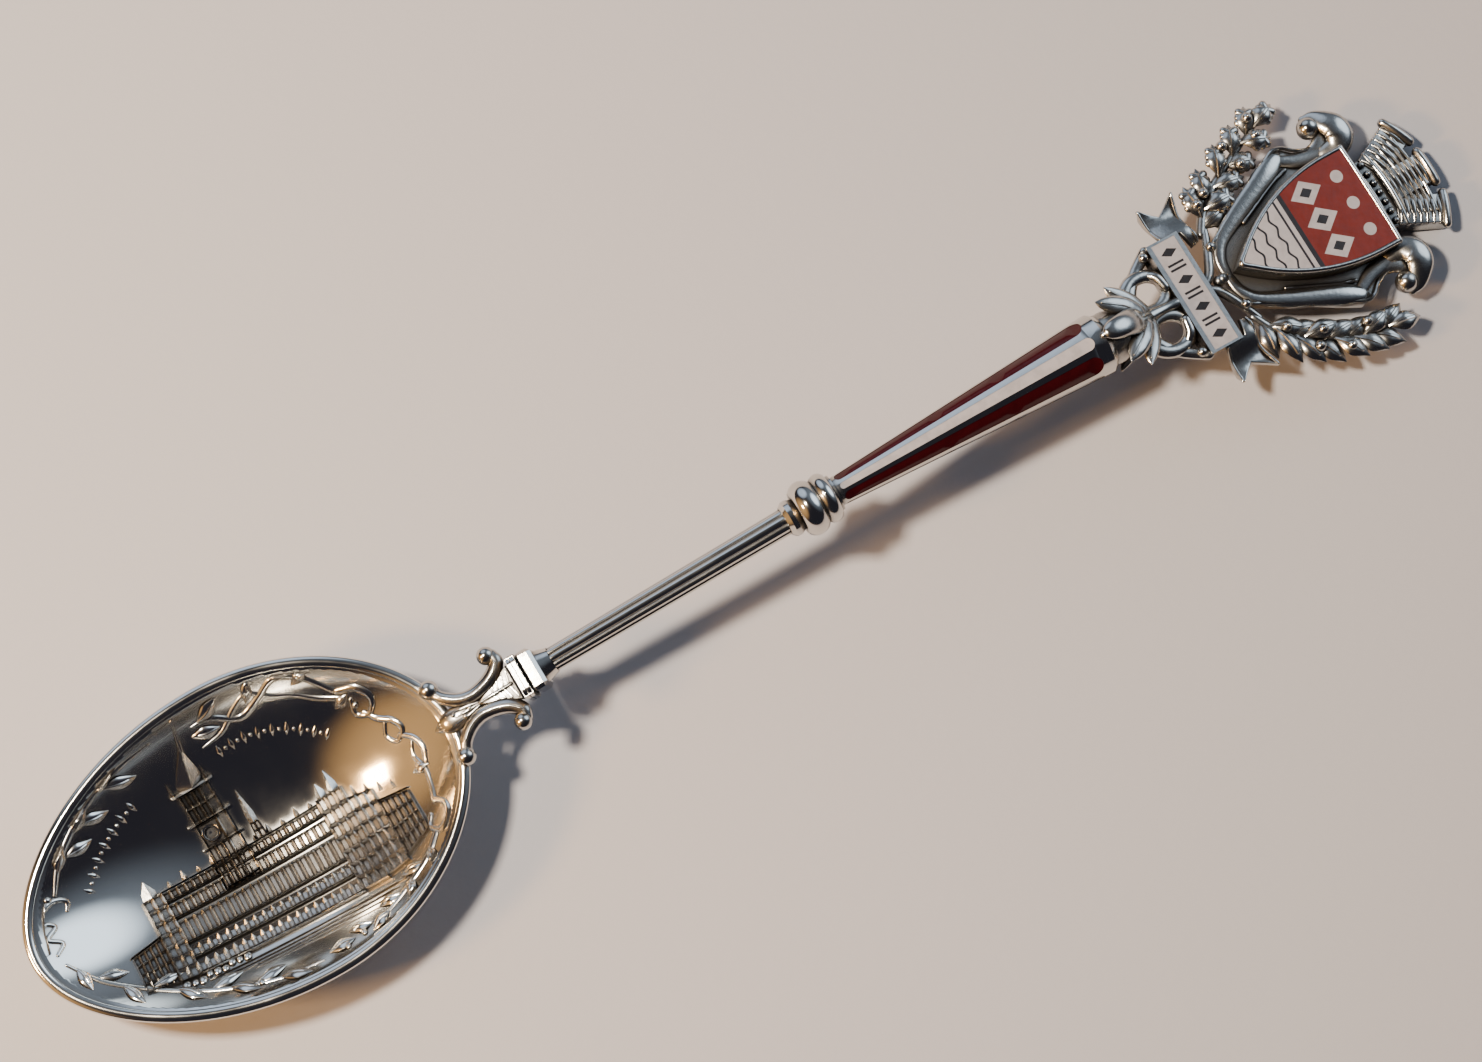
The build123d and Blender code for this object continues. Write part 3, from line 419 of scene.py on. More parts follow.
class BowlForm:
    """The struck surface: sections are arcs about a level axis over the bowl."""

    def __init__(self):
        self.rim = BOWL_HIGH.z / MM
        self.half = BOWL_HIGH.y / MM
        self.tip = BOWL_LOW.x / MM
        self.heel = BOWL_HIGH.x / MM
        self.deep = self.tip + (self.heel - self.tip) * sizes().deep_share
        self.axis = (self.half ** 2 + self.rim ** 2) / (2 * self.rim)
        runs = (self.deep - self.tip, self.heel - self.deep)
        self.centres = [(run ** 2 + self.rim ** 2) / (2 * self.rim) for run in runs]

    def radius(self, x, inset=0.0):
        """Distance of the surface from the axis at a station."""
        centre = self.centres[0] if x < self.deep else self.centres[1]
        return self.axis - centre + sqrt(max((centre - inset) ** 2 - (x - self.deep) ** 2, 0.01))

    def rim_line(self):
        """Points round the rim for a rolled edge whose outside and top are level with the rim."""
        low = self.axis - self.rim
        front, rear = [sqrt((c - RIM_HALF_WIDTH) ** 2 - (c - self.rim) ** 2) for c in self.centres]
        points = []
        for k in range(RIM_POINTS):
            a = k * 2 * pi / RIM_POINTS
            x = self.deep + (rear if cos(a) > 0 else front) * cos(a)
            reach = sqrt(max(self.radius(x, RIM_HALF_WIDTH) ** 2 - low * low, 0))
            y = reach if sin(a) >= 0 else -reach
            points.append((x, y, self.rim - RIM_FLAT * RIM_HALF_WIDTH, RIM_HALF_WIDTH))
        return points

    def inside(self, x, y, height, wall):
        """A point over the bowl moved to stand height off its inner surface."""
        r = self.radius(x, wall)
        drop = self.axis - self.rim + WORK_BELOW_RIM
        reach = sqrt(max(r * r - drop * drop, 0.01))
        y = max(-reach, min(reach, y))
        down = sqrt(r * r - y * y)
        step = 0.02
        slope = (self.radius(x + step, wall) - self.radius(x - step, wall)) / (2 * step)
        normal = Vector((slope, -y / r, down / r)).normalized()
        return Vector((x, y, self.axis - down)) + normal * height


def make_bowl_shell():
    """The sheet, swung round its level axis, thickened and cut level, with a rolled edge."""
    form = BowlForm()
    bm = bmesh.new()
    past_rim = radians(1.6)
    front, rear = [(c, asin(min(1, sqrt(c * c - (c - form.rim) ** 2) / c)) + past_rim)
                   for c in form.centres]
    profile = []
    for k in range(-PROFILE_STEPS, PROFILE_STEPS + 1):
        centre, reach = front if k < 0 else rear
        a = reach * k / PROFILE_STEPS
        profile.append((form.deep + centre * sin(a), centre - centre * cos(a)))
    verts = [bm.verts.new((x, 0, z)) for x, z in profile]
    edges = [bm.edges.new(pair) for pair in zip(verts, verts[1:])]
    hub = Vector((0, 0, form.axis))
    bmesh.ops.rotate(bm, cent=hub, matrix=Matrix.Rotation(-SWEEP, 3, "X"), verts=verts)
    bmesh.ops.spin(bm, geom=verts + edges, cent=hub, axis=(1, 0, 0), angle=2 * SWEEP, steps=SWEEP_STEPS)
    bmesh.ops.recalc_face_normals(bm, faces=bm.faces)
    lowest = min(bm.faces, key=lambda f: f.calc_center_median().z)
    if lowest.normal.z > 0:
        bmesh.ops.reverse_faces(bm, faces=bm.faces)
    bmesh.ops.solidify(bm, geom=bm.faces[:], thickness=sizes().wall / MM)
    cut = cut_across(bm, (0, 0, form.rim - LIP_BELOW_RIM), UP, clear_outer=True)
    lips = [e for e in cut["geom_cut"] if isinstance(e, bmesh.types.BMEdge) and e.is_boundary]
    bmesh.ops.bridge_loops(bm, edges=lips)
    strand(bm, form.rim_line(), flat=RIM_FLAT, sides=16, steps=3, closed=True)
    piece("bowl_shell", bm, ROW, "polished_silver", ["bowl"], sharp=60)


def strike(bm, form):
    """Moves a flat drawing with heights on to the inside of the bowl."""
    wall = sizes().wall / MM
    for v in bm.verts:
        v.co = form.inside(v.co.x, v.co.y, v.co.z, wall)


SINK = -0.12          # relief pieces start this far inside the silver, mm


def block(bm, corners, height, columns=1, rows=1, frame_width=0.0, pit=0.0):
    """A wall between four (x, y) corners, from lower left round to upper left, with sunk windows."""
    made = bmesh.ops.create_grid(bm, x_segments=columns, y_segments=rows, size=1)["verts"]
    a, b, c, d = [Vector(p) for p in corners]
    for v in made:
        s, t = (v.co.x + 1) / 2, (v.co.y + 1) / 2
        v.co = ((a * (1 - s) + b * s) * (1 - t) + (d * (1 - s) + c * s) * t).to_3d() + UP * height
    faces = list({f for v in made for f in v.link_faces})
    if pit:
        bmesh.ops.inset_individual(bm, faces=faces, thickness=frame_width, depth=0.0,
                                   use_even_offset=True)
        moved = {v for f in faces for v in f.verts}
        bmesh.ops.translate(bm, vec=(0, 0, -pit), verts=list(moved))
    edges = [e for e in {e for v in made for e in v.link_edges} if e.is_boundary]
    skirt = bmesh.ops.extrude_edge_only(bm, edges=edges)["geom"]
    for v in skirt:
        if isinstance(v, bmesh.types.BMVert):
            v.co.z = SINK


def ledge(bm, start, end, width, height):
    """A raised moulding between two (x, y) points."""
    points = [(*start, SINK, width), (*end, SINK, width)]
    count = max(2, int((Vector(end) - Vector(start)).length / 0.8))
    strand(bm, points, flat=(height - SINK) / width, sides=8, steps=count)


def spire(bm, foot, half, tip, height):
    """A pyramid roof seen from the front: two faces that meet on a raised ridge."""
    (x, y), (tx, ty) = foot, tip
    corners = [(x - half, y, SINK), (x + half, y, SINK), (x, y, height), (tx, ty, height * 0.4),
               (tx, ty, SINK)]
    bmesh.ops.convex_hull(bm, input=[bm.verts.new(corner) for corner in corners])


def make_town_hall():
    """An invented town hall: tower and spire, long arcaded front with dormers, gabled wings."""
    form = BowlForm()
    bm = bmesh.new()
    top = sizes().relief / MM

    # long front: five window rows between cornices
    rows = [(0.45, -0.3, 22, 0.2), (-0.65, -1.75, 22, 0.2), (-2.15, -4.0, 20, 0.22),
            (-4.45, -5.35, 18, 0.24), (-5.8, -6.8, 18, 0.25)]
    x0, x1 = -53.9, -39.9
    fall = 0.11                           # share by which each row is lower at its far end
    pit_floor = 0.03                      # windows end this far above the bowl
    for high, low, columns, frame_width in rows:
        far_low, far_high = low * (1 + fall), high * (1 + fall)
        corners = [(x0, low), (x1, far_low), (x1, far_high), (x0, high)]
        block(bm, corners, top, columns, 1, frame_width, top - pit_floor)
        ledge(bm, (x0 - 0.1, low - 0.13), (x1 + 0.1, far_low - 0.13), 0.1, top * 1.25)
    eaves = 0.62
    ledge(bm, (x0 - 0.1, eaves), (x1 + 0.1, eaves), 0.1, top * 1.2)
    # dormers along the eaves
    for i in range(11):
        x = x0 + 0.9 + i * 1.25
        spire(bm, (x, eaves + 0.03), 0.36, (x, 1.45 if i % 2 else 1.15), top)
    # right pavilion with twin gables, and wings
    block(bm, [(-39.9, -7.6), (-37.6, -7.75), (-37.6, 0.9), (-39.9, 0.9)], top * 1.2, 3, 7, 0.22,
          top * 1.0)
    for x, peak in ((-39.3, 2.1), (-38.2, 2.7)):
        spire(bm, (x, 0.9), 0.62, (x, peak), top * 1.2)
    block(bm, [(-37.6, -7.6), (-35.5, -7.4), (-35.5, -0.6), (-37.6, -0.2)], top * 0.95, 3, 6, 0.2,
          top * 0.8)
    block(bm, [(-35.5, -7.0), (-32.9, -6.0), (-33.0, -2.4), (-35.5, -1.9)], top * 0.85, 5, 4, 0.15,
          top * 0.75)
    ledge(bm, (-35.6, -1.75), (-32.9, -2.25), 0.1, top)
    for i in range(4):
        spire(bm, (-36.9 + i, -0.3 - 0.45 * i), 0.3, (-36.9 + i, 0.5 - 0.45 * i), top)
    # left pavilion and low annex
    block(bm, [(-55.5, -6.8), (-53.9, -7.0), (-53.9, 0.6), (-55.5, 0.5)], top * 1.2, 2, 7, 0.22,
          top * 1.0)
    spire(bm, (-54.7, 0.55), 0.85, (-54.7, 2.0), top * 1.2)
    block(bm, [(-58.0, -6.2), (-55.5, -6.7), (-55.5, -2.7), (-58.0, -3.2)], top * 0.85, 5, 4, 0.15,
          top * 0.75)
    ledge(bm, (-58.1, -3.05), (-55.4, -2.5), 0.1, top)
    # tower: main face and a narrow side face, in stages
    stages = [(-1.6, 0.3, 3, 1), (0.3, 1.9, 3, 1), (1.9, 3.9, 1, 1), (4.1, 6.5, 3, 2)]
    left, corner, right = -49.2, -47.3, -46.3
    for i, (low, high, columns, tiers) in enumerate(stages):
        pull = 0.05 * i
        face = [(left + pull, low), (corner, low), (corner, high), (left + pull, high)]
        block(bm, face, top * 1.7, columns, tiers, 0.19, top)
        flank = [(corner, low), (right - pull, low + 0.15), (right - pull, high + 0.1), (corner, high)]
        block(bm, flank, top * 1.35, 1, tiers, 0.16, top * 0.8)
    for y, grow in ((0.3, 0.1), (1.9, 0.12), (4.0, 0.25), (6.6, 0.2)):
        ledge(bm, (left - 0.1 - grow, y), (right + 0.1 + grow, y + 0.12), 0.13, top * 2.0)
    strand(bm, ring_points((-48.3, 2.95), (0.62, 0.62), top * 1.8, 0.0, 0.12, 8), closed=True, sides=6,
           steps=2)
    for x, y in ((-49.3, 6.7), (-46.3, 6.8)):
        spire(bm, (x, y), 0.25, (x, y + 1.0), top * 1.2)
    spire(bm, (-47.75, 6.7), 1.35, (-46.9, 9.5), top * 1.7)
    finial = [(-46.95, 9.2, 0.1, 0.17), (-46.5, 10.6, 0.08, 0.1), (-46.1, 12.0, 0.02, 0.05)]
    strand(bm, finial, flat=0.8, sides=6, steps=4)
    # ridge turret
    block(bm, [(-45.4, 0.6), (-44.5, 0.6), (-44.6, 2.0), (-45.3, 2.0)], top, 2, 2, 0.1, top * 0.6)
    spire(bm, (-44.95, 2.0), 0.5, (-44.95, 4.9), top)
    # steps and ground
    for i in range(4):
        y = -7.7625 - 0.32 * i
        ledge(bm, (-53.5 + i * 1.2, y + 0.1), (-36.5 - i * 0.8, y - 0.75), 0.05, top * (0.55 - 0.1 * i))
    # shrubs
    for i in range(9):
        x = -55.2 + i * 0.62
        dome(bm, x, -7.15 - 0.12 * (i % 3), 0.05, 0.34 - 0.05 * (i % 2), 0.7)
    strike(bm, form)
    piece("struck_town_hall", bm, ROW, "struck_silver", [], sharp=30)


def make_garland():
    """Looped ribbon and leafy sprays struck round the bowl, and two beaded arcs."""
    form = BowlForm()
    bm = bmesh.new()
    low = 0.02                            # height of the strands' middles over the bowl, mm
    lines = [                             # x, y, half width
        [(-45.2, 10.3, 0.06), (-43.6, 10.2, 0.16), (-41.6, 9.2, 0.2), (-39.6, 9.7, 0.22),
         (-37.8, 10.2, 0.2), (-36.0, 9.3, 0.18), (-34.2, 7.2, 0.16)],
        [(-45.3, 8.7, 0.05), (-43.4, 9.0, 0.13), (-41.8, 9.9, 0.16), (-40.2, 10.3, 0.14),
         (-38.6, 9.3, 0.16), (-37.2, 8.6, 0.14), (-35.6, 7.4, 0.16), (-33.8, 6.3, 0.16)],
        [(-34.0, 7.0, 0.2), (-32.6, 6.4, 0.24), (-31.9, 5.2, 0.24), (-32.6, 4.3, 0.2), (-33.6, 4.8, 0.18),
         (-33.4, 5.9, 0.16)],
        [(-33.0, 4.6, 0.16), (-32.3, 3.6, 0.22), (-31.4, 2.9, 0.22), (-31.0, 1.9, 0.2),
         (-31.8, 1.3, 0.18), (-32.4, 2.1, 0.16), (-32.0, 3.0, 0.14)],
        [(-31.4, 1.6, 0.18), (-30.6, 0.8, 0.2), (-30.3, -0.3, 0.2), (-30.7, -1.4, 0.16)],
        [(-30.9, 0.6, 0.12), (-31.3, -0.4, 0.16), (-31.0, -1.7, 0.18), (-31.2, -3.0, 0.16),
         (-31.6, -4.4, 0.18)],
        [(-31.6, -4.2, 0.18), (-30.9, -5.1, 0.2), (-31.3, -6.2, 0.22), (-32.3, -6.7, 0.22),
         (-32.9, -6.0, 0.18), (-32.4, -5.2, 0.16)],
        [(-32.6, -6.6, 0.18), (-33.8, -7.7, 0.2), (-35.4, -8.6, 0.18), (-37.6, -9.6, 0.14),
         (-39.6, -10.4, 0.07)],
        [(-63.2, 2.4, 0.1), (-62.2, 3.2, 0.2), (-61.0, 3.7, 0.2), (-60.1, 3.3, 0.16), (-60.4, 2.6, 0.1)],
        [(-62.6, 2.6, 0.16), (-61.7, 1.9, 0.16), (-62.6, 1.2, 0.16), (-61.8, 0.5, 0.16),
         (-62.5, -0.2, 0.12)],
        [(-60.6, 4.0, 0.1), (-59.2, 5.9, 0.16), (-57.0, 7.7, 0.16), (-54.4, 9.2, 0.14),
         (-51.4, 10.2, 0.12), (-48.6, 10.7, 0.05)],
        [(-62.3, -1.2, 0.1), (-60.6, -3.6, 0.15), (-58.2, -5.6, 0.15), (-55.2, -7.6, 0.14),
         (-52.0, -9.2, 0.13), (-48.4, -10.4, 0.1), (-45.0, -10.9, 0.05)],
    ]
    for points in lines:
        strand(bm, [(x, y, low, r * 1.2) for x, y, r in points], flat=0.75, sides=8, steps=5)
    sprays = [
        ((-44.6, 10.4), (-42.4, 11.2)), ((-43.4, 9.4), (-45.6, 9.7)), ((-40.6, 9.9), (-39.6, 11.1)),
        ((-38.0, 10.2), (-36.2, 10.6)), ((-36.8, 9.2), (-35.0, 9.6)), ((-59.6, 5.4), (-58.2, 7.4)),
        ((-58.4, 6.2), (-56.2, 6.6)), ((-57.2, 7.5), (-55.2, 8.9)), ((-56.4, 7.9), (-54.0, 7.9)),
        ((-54.2, 9.2), (-51.8, 10.9)), ((-53.4, 9.4), (-50.8, 9.2)), ((-61.8, -1.8), (-61.4, -3.9)),
        ((-60.8, -3.2), (-58.6, -3.9)), ((-59.4, -4.7), (-58.4, -6.8)), ((-57.6, -5.9), (-55.0, -6.0)),
        ((-56.0, -7.0), (-54.2, -8.8)), ((-53.6, -8.4), (-51.0, -8.3)), ((-52.4, -9.0), (-50.2, -10.3)),
        ((-50.4, -9.8), (-47.8, -9.6)), ((-48.6, -10.3), (-46.2, -11.2)), ((-33.6, -7.4), (-34.0, -9.0)),
        ((-34.6, -8.2), (-36.8, -8.2)), ((-36.0, -8.8), (-36.8, -10.2)), ((-37.4, -9.4), (-39.4, -9.4)),
        ((-38.8, -10.1), (-40.6, -10.9)), ((-40.4, -10.2), (-42.4, -9.9)),
        ((-42.2, -10.6), (-44.4, -10.6)), ((-33.4, 6.4), (-34.8, 6.0)), ((-30.6, -1.6), (-32.0, -1.5)),
    ]
    for start, end in sprays:
        leaf(bm, start, end, 0.85, low, thick=0.5, arch=0.12)
    for x, y in ((-61.2, 3.9), (-42.9, -10.9), (-41.3, -10.6), (-39.2, -10.9), (-31.3, -1.2),
                 (-33.3, 5.4), (-50.0, -9.9)):
        dome(bm, x, y, 0.05, 0.26, 0.8)
    # beaded arcs with lozenges between small pearls
    arcs = [[(-58.3, 3.2), (-56.6, 5.0), (-54.6, 6.4), (-52.4, 7.4)],
            [(-44.4, 7.9), (-42.2, 7.9), (-40.0, 7.3), (-38.0, 6.2), (-36.4, 4.8)]]
    for points in arcs:
        line = line_through(points, 4)
        for i, p in enumerate(line):
            if i % 2:
                dome(bm, p.x, p.y, 0.02, 0.15, 0.8)
                continue
            before, after = line[max(i - 1, 0)], line[min(i + 1, len(line) - 1)]
            across = Vector((after.y - before.y, before.x - after.x)).normalized() * 0.42
            lozenge = [(*(p - across), low, 0.04), (*p, low, 0.2), (*(p + across), low, 0.04)]
            strand(bm, lozenge, flat=0.6, sides=6, steps=3)
    strike(bm, form)
    piece("struck_garland", bm, ROW, "struck_silver", [], sharp=50)


# --- neck -----------------------------------------------------------------------------------------

def neck_place():
    heel = Vector((BOWL_HIGH.x, 0, BOWL_HIGH.z + sizes().neck_lift))
    end = Vector((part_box("neck_block")[1].x, 0, heel.z + sizes().neck_rise))
    return level_place(heel, end - heel)


def make_scroll_bars():
    for way, side in ((1, "left"), (-1, "right")):
        bm = bmesh.new()
        bar = [(-0.9, 2.9, -0.15, 0.5), (-0.35, 1.95, -0.02, 0.52), (0.6, 1.2, 0.0, 0.56),
               (1.7, 0.86, 0.05, 0.6), (2.9, 0.98, 0.1, 0.62), (4.0, 1.4, 0.12, 0.64),
               (4.75, 2.1, 0.12, 0.6), (4.72, 2.75, 0.12, 0.5)]
        strand(bm, [(x, y * way, h, r) for x, y, h, r in bar], flat=0.92, sides=16, steps=7)
        ridge = [(x, y * way, h + r * 0.8, 0.13) for x, y, h, r in bar[1:7]]
        strand(bm, ridge, flat=0.9, sides=8, steps=6)
        cast_piece(f"scroll_bar_{side}", bm, neck_place())
    bm = bmesh.new()
    mirrored(bm, lambda b: dome(b, 4.3, 2.95, 0.15, 0.74))
    cast_piece("horn_balls", bm, neck_place())
    bm = bmesh.new()
    mirrored(bm, lambda b: dome(b, -0.95, 3.0, 0.0, 0.8))
    cast_piece("rim_beads", bm, neck_place())


def make_heel_leaf():
    bm = bmesh.new()
    blade = [(-2.0, 0, -0.55, 0.2), (-1.0, 0, -0.25, 0.85), (0.3, 0, -0.15, 0.9), (1.6, 0, -0.1, 0.45),
             (2.4, 0, 0, 0.3)]
    strand(bm, blade, flat=0.45, sides=14, steps=6)
    for y in (-0.45, 0, 0.45):
        flute = [(-1.7, y * 0.4, -0.25, 0.08), (-0.6, y, 0.05, 0.13), (0.8, y * 0.8, 0.2, 0.14),
                 (2.0, y * 0.3, 0.22, 0.1)]
        strand(bm, flute, flat=1.0, sides=8, steps=5)
    for x, y in ((-0.2, 0.25), (0.6, -0.3), (1.2, 0.1)):
        dome(bm, x, y, 0.25, 0.2)
    cast_piece("heel_leaf", bm, neck_place())


def make_neck_wedge():
    bm = bmesh.new()
    plate(bm, [(2.0, 0.12), (5.25, 1.5), (5.25, -1.5), (2.0, -0.12)], -0.5, 0.3, bevel=0.1)
    strand(bm, [(2.1, 0, 0.35, 0.12), (3.4, 0, 0.42, 0.16), (5.0, 0, 0.4, 0.12)], sides=8)
    for i in range(4):
        x = 3.3 + i * 0.5
        half = (x - 2.0) * 0.4
        rib = [(x, 0.1, 0.3, 0.1), (x + 0.25, half, 0.34, 0.08)]
        mirrored(bm, lambda b: strand(b, rib, sides=6, steps=3))
    cast_piece("neck_wedge", bm, neck_place())


# --- finial ---------------------------------------------------------------------------------------

def make_calyx():
    bm = bmesh.new()
    high = 2.58
    cup = [(0.5, 2.25), (1.1, 2.2), (1.9, 1.75), (2.7, 1.4), (3.6, 1.15), (4.3, 0.8)]
    strand(bm, [(x, 0, high - 0.2 * x, r) for x, r in cup], sides=24, steps=5)
    tongue = [(4.8, 0, 2.1, 0.75), (3.6, 0, 3.1, 1.02), (2.5, 0, 4.2, 1.12), (1.4, 0, 4.9, 1.02),
              (0.4, 0, 5.2, 0.88), (-0.3, 0, 5.28, 0.62), (-0.65, 0, 5.25, 0.3)]
    strand(bm, tongue, flat=0.5, sides=18, steps=6)
    leaves = [
        [(4.1, 0.6, 2.5, 0.9), (3.5, 1.5, 2.8, 1.0), (2.95, 2.4, 3.1, 0.8), (2.45, 3.15, 3.3, 0.45),
         (2.2, 3.6, 3.45, 0.08)],
        [(3.5, 0.5, 3.3, 0.85), (2.7, 1.3, 3.7, 0.95), (1.7, 1.95, 4.1, 0.8), (0.9, 2.45, 4.3, 0.45),
         (0.5, 2.75, 4.4, 0.08)],
        [(3.4, 0.5, 1.4, 0.5), (2.5, 1.4, 1.0, 0.55), (1.6, 2.0, 0.8, 0.45), (0.9, 2.5, 0.7, 0.12)],
    ]
    for points in leaves:
        mirrored(bm, lambda b: strand(b, points, flat=0.42, sides=14, steps=6))
        vein = [(x, y, h + r * 0.36, 0.1) for x, y, h, r in points[:4]]
        mirrored(bm, lambda b: strand(b, vein, sides=8, steps=6))
    cast_piece("calyx", bm, FINIAL)


def make_stem_loops():
    bm = bmesh.new()

    def side(b):
        ring = ring_points((5.7, 1.85), (1.85, 1.5), 1.5, -0.1, 0.58, 10)
        strand(b, ring, flat=0.75, sides=14, steps=4, closed=True)
        arm = [(3.4, 0.5, 1.95, 0.75), (4.4, 2.3, 1.6, 0.6), (5.7, 3.6, 1.4, 0.5), (7.0, 4.5, 1.5, 0.5),
               (7.5, 4.9, 1.7, 0.45)]
        strand(b, arm, flat=0.7)
        strand(b, [(6.6, 3.2, 1.5, 0.4), (7.2, 2.6, 1.7, 0.5), (7.4, 1.6, 1.8, 0.45)], flat=0.9)
        crossed = [(10.5, 0.15, 1.35, 0.4), (11.4, 0.8, 1.35, 0.42), (12.1, 1.9, 1.3, 0.42),
                   (12.9, 3.4, 1.1, 0.36), (13.3, 4.2, 1.0, 0.3)]
        strand(b, crossed, flat=0.8)
        dome(b, 7.15, 4.5, 1.75, 0.45)
        dome(b, 12.75, 2.75, 1.5, 0.42)

    mirrored(bm, side)
    spine = [(3.3, 0, 2.3, 0.8), (4.6, 0.05, 2.1, 0.62), (6.2, 0.05, 1.9, 0.42), (7.6, 0, 1.8, 0.5)]
    strand(bm, spine, flat=0.8)
    plate(bm, [(7.3, 4.4), (7.3, -4.4), (10.9, -4.4), (10.9, 4.4)], 0.35, 0.98, bevel=0.1)
    dome(bm, 11.95, 0, 1.1, 0.5)
    cast_piece("stem_loops", bm, FINIAL)


TAIL_ROOT = 3.5            # where the tails' waves start, mm from the centre line
TAIL_WAVE = 0.42           # height of the waves, mm
TAIL_TURN = 1.35           # radians of wave to each mm


def tail_lift(y):
    return TAIL_WAVE * sin((abs(y) - TAIL_ROOT) * TAIL_TURN)


def make_ribbon_tails():
    for way, side in ((1, "left"), (-1, "right")):
        bm = bmesh.new()
        outline = [(9.3, 5.0), (9.15, 6.3), (8.95, 7.6), (9.15, 8.2), (9.9, 7.6), (10.65, 7.05),
                   (11.5, 7.6), (12.45, 8.35), (12.3, 7.4), (11.95, 6.2), (12.0, 5.2), (12.15, 4.3),
                   (12.1, 3.6), (11.6, 3.5), (11.3, 4.2), (11.1, 4.9), (10.4, 5.0)]
        plate(bm, [(x, y * way) for x, y in outline], 0.75, 1.25, bevel=0.12)
        for k in range(12):
            cut_across(bm, (0, way * (TAIL_ROOT + 0.2 + 0.4 * k), 0), (0, 1, 0))
        for v in bm.verts:
            v.co.z += tail_lift(v.co.y) + 0.02 * (abs(v.co.y) - TAIL_ROOT)
        near_hem = [(9.0, 8.1), (9.15, 6.4), (9.3, 5.2)]
        far_hem = [(12.4, 8.2), (11.95, 6.2), (12.1, 4.4), (12.1, 3.7)]
        for points in (near_hem, far_hem):
            strand(bm, [(x, y * way, 1.3 + tail_lift(y), 0.13) for x, y in points], sides=8)
        cast_piece(f"ribbon_tail_{side}", bm, FINIAL)


def make_cartouche():
    bm = bmesh.new()
    half = [(12.5, 0.0), (12.7, 1.5), (13.3, 2.9), (15.6, 4.2), (18.6, 5.6), (20.6, 6.75), (21.9, 7.4),
            (22.8, 7.2), (23.6, 6.5), (24.6, 6.0), (25.8, 5.9), (26.8, 5.6), (27.0, 4.5), (26.5, 3.2),
            (26.5, 0.0)]
    outline = half + [(x, -y) for x, y in reversed(half[1:-1])]
    plate(bm, outline, 0.0, 1.3, bevel=0.3)

    def side(b):
        # raised strap down the flank, wired along its edge and its middle
        strap = [(12.8, 0.0, 1.3, 0.4), (13.0, 1.5, 1.35, 0.5), (13.9, 2.8, 1.4, 0.6),
                 (16.0, 3.95, 1.45, 0.75), (18.6, 5.1, 1.5, 0.85), (20.6, 6.0, 1.5, 0.9),
                 (21.9, 6.65, 1.45, 0.6), (22.3, 6.95, 1.3, 0.3)]
        strand(b, strap, flat=0.38, sides=16)
        shoulder = [(22.2, 6.2, 1.4, 0.5), (23.4, 5.6, 1.45, 0.62), (24.8, 5.3, 1.5, 0.68),
                    (26.2, 5.1, 1.6, 0.72)]
        strand(b, shoulder, flat=0.38, sides=14)
        edge = [(13.2, 2.95), (15.6, 4.25), (18.6, 5.6), (20.6, 6.7), (21.9, 7.3), (22.8, 7.15),
                (23.6, 6.5), (24.6, 6.05), (25.8, 5.95)]
        groove = [(16.4, 3.2), (18.4, 4.05), (20.4, 4.9), (22.0, 5.4)]
        for wire in (edge, groove):
            strand(b, [(x, y, 1.5, 0.17) for x, y in wire], sides=8)
        # ear: a broad strap that leaves the shield's corner, rolls over and curls in to its ball
        ear = [(25.9, 4.9, 1.7, 0.85), (26.8, 5.0, 1.9, 1.05), (27.5, 5.6, 2.1, 1.2),
               (27.55, 6.5, 2.15, 1.2), (27.1, 7.3, 2.0, 1.0), (26.5, 8.0, 1.7, 0.75),
               (25.8, 8.35, 1.5, 0.4)]
        strand(b, ear, flat=0.45, sides=18)
        inner = [(24.6, 5.6, 1.4, 0.6), (25.6, 5.7, 1.5, 0.75), (26.4, 6.3, 1.5, 0.8),
                 (26.6, 7.2, 1.4, 0.6)]
        strand(b, inner, flat=0.4, sides=14)

    mirrored(bm, side)
    dome(bm, 12.3, 0, 1.2, 0.5)
    cast_piece("cartouche", bm, FINIAL)
    bm = bmesh.new()
    mirrored(bm, lambda b: dome(b, 25.75, 7.55, 1.5, 0.95))
    cast_piece("cartouche_balls", bm, FINIAL)


def shield_line(grow):
    """Points round the shield, from its top corner down to the tip and back."""
    half, tip, top, straight = 4.33 + grow, 13.6 - grow, 26.15 + grow, 1.6
    turn = top - straight
    reach = turn - tip
    radius = (reach ** 2 + half ** 2) / (2 * half)
    side = [(top, half), (turn, half)]
    full = atan2(reach, radius - half)
    for k in range(1, 12):
        a = full * k / 12
        side.append((turn - radius * sin(a), half - radius + radius * cos(a)))
    return side + [(tip, 0)] + [(x, -y) for x, y in reversed(side)]


def make_shield_setting():
    bm = bmesh.new()
    plate(bm, shield_line(0.36), 1.1, 3.05, bevel=0.1)
    rim_height = 3.36
    rim = [(x, y, rim_height, 0.24) for x, y in shield_line(0.18)]
    strand(bm, rim, flat=1.1, sides=10, steps=4)
    head = [(26.3, 4.55, 0.24), (26.35, 2.3, 0.25), (26.35, 0, 0.25), (26.35, -2.3, 0.25),
            (26.3, -4.55, 0.24)]
    strand(bm, [(x, y, rim_height, r) for x, y, r in head], flat=1.1, sides=10)
    piece("shield_setting_cast", bm, FINIAL, "cast_silver", ["shield_setting"])


TOWER_COURSES = 7
COURSE_INSET = 0.12        # how far the courses' ends keep inside the tower's sides, mm


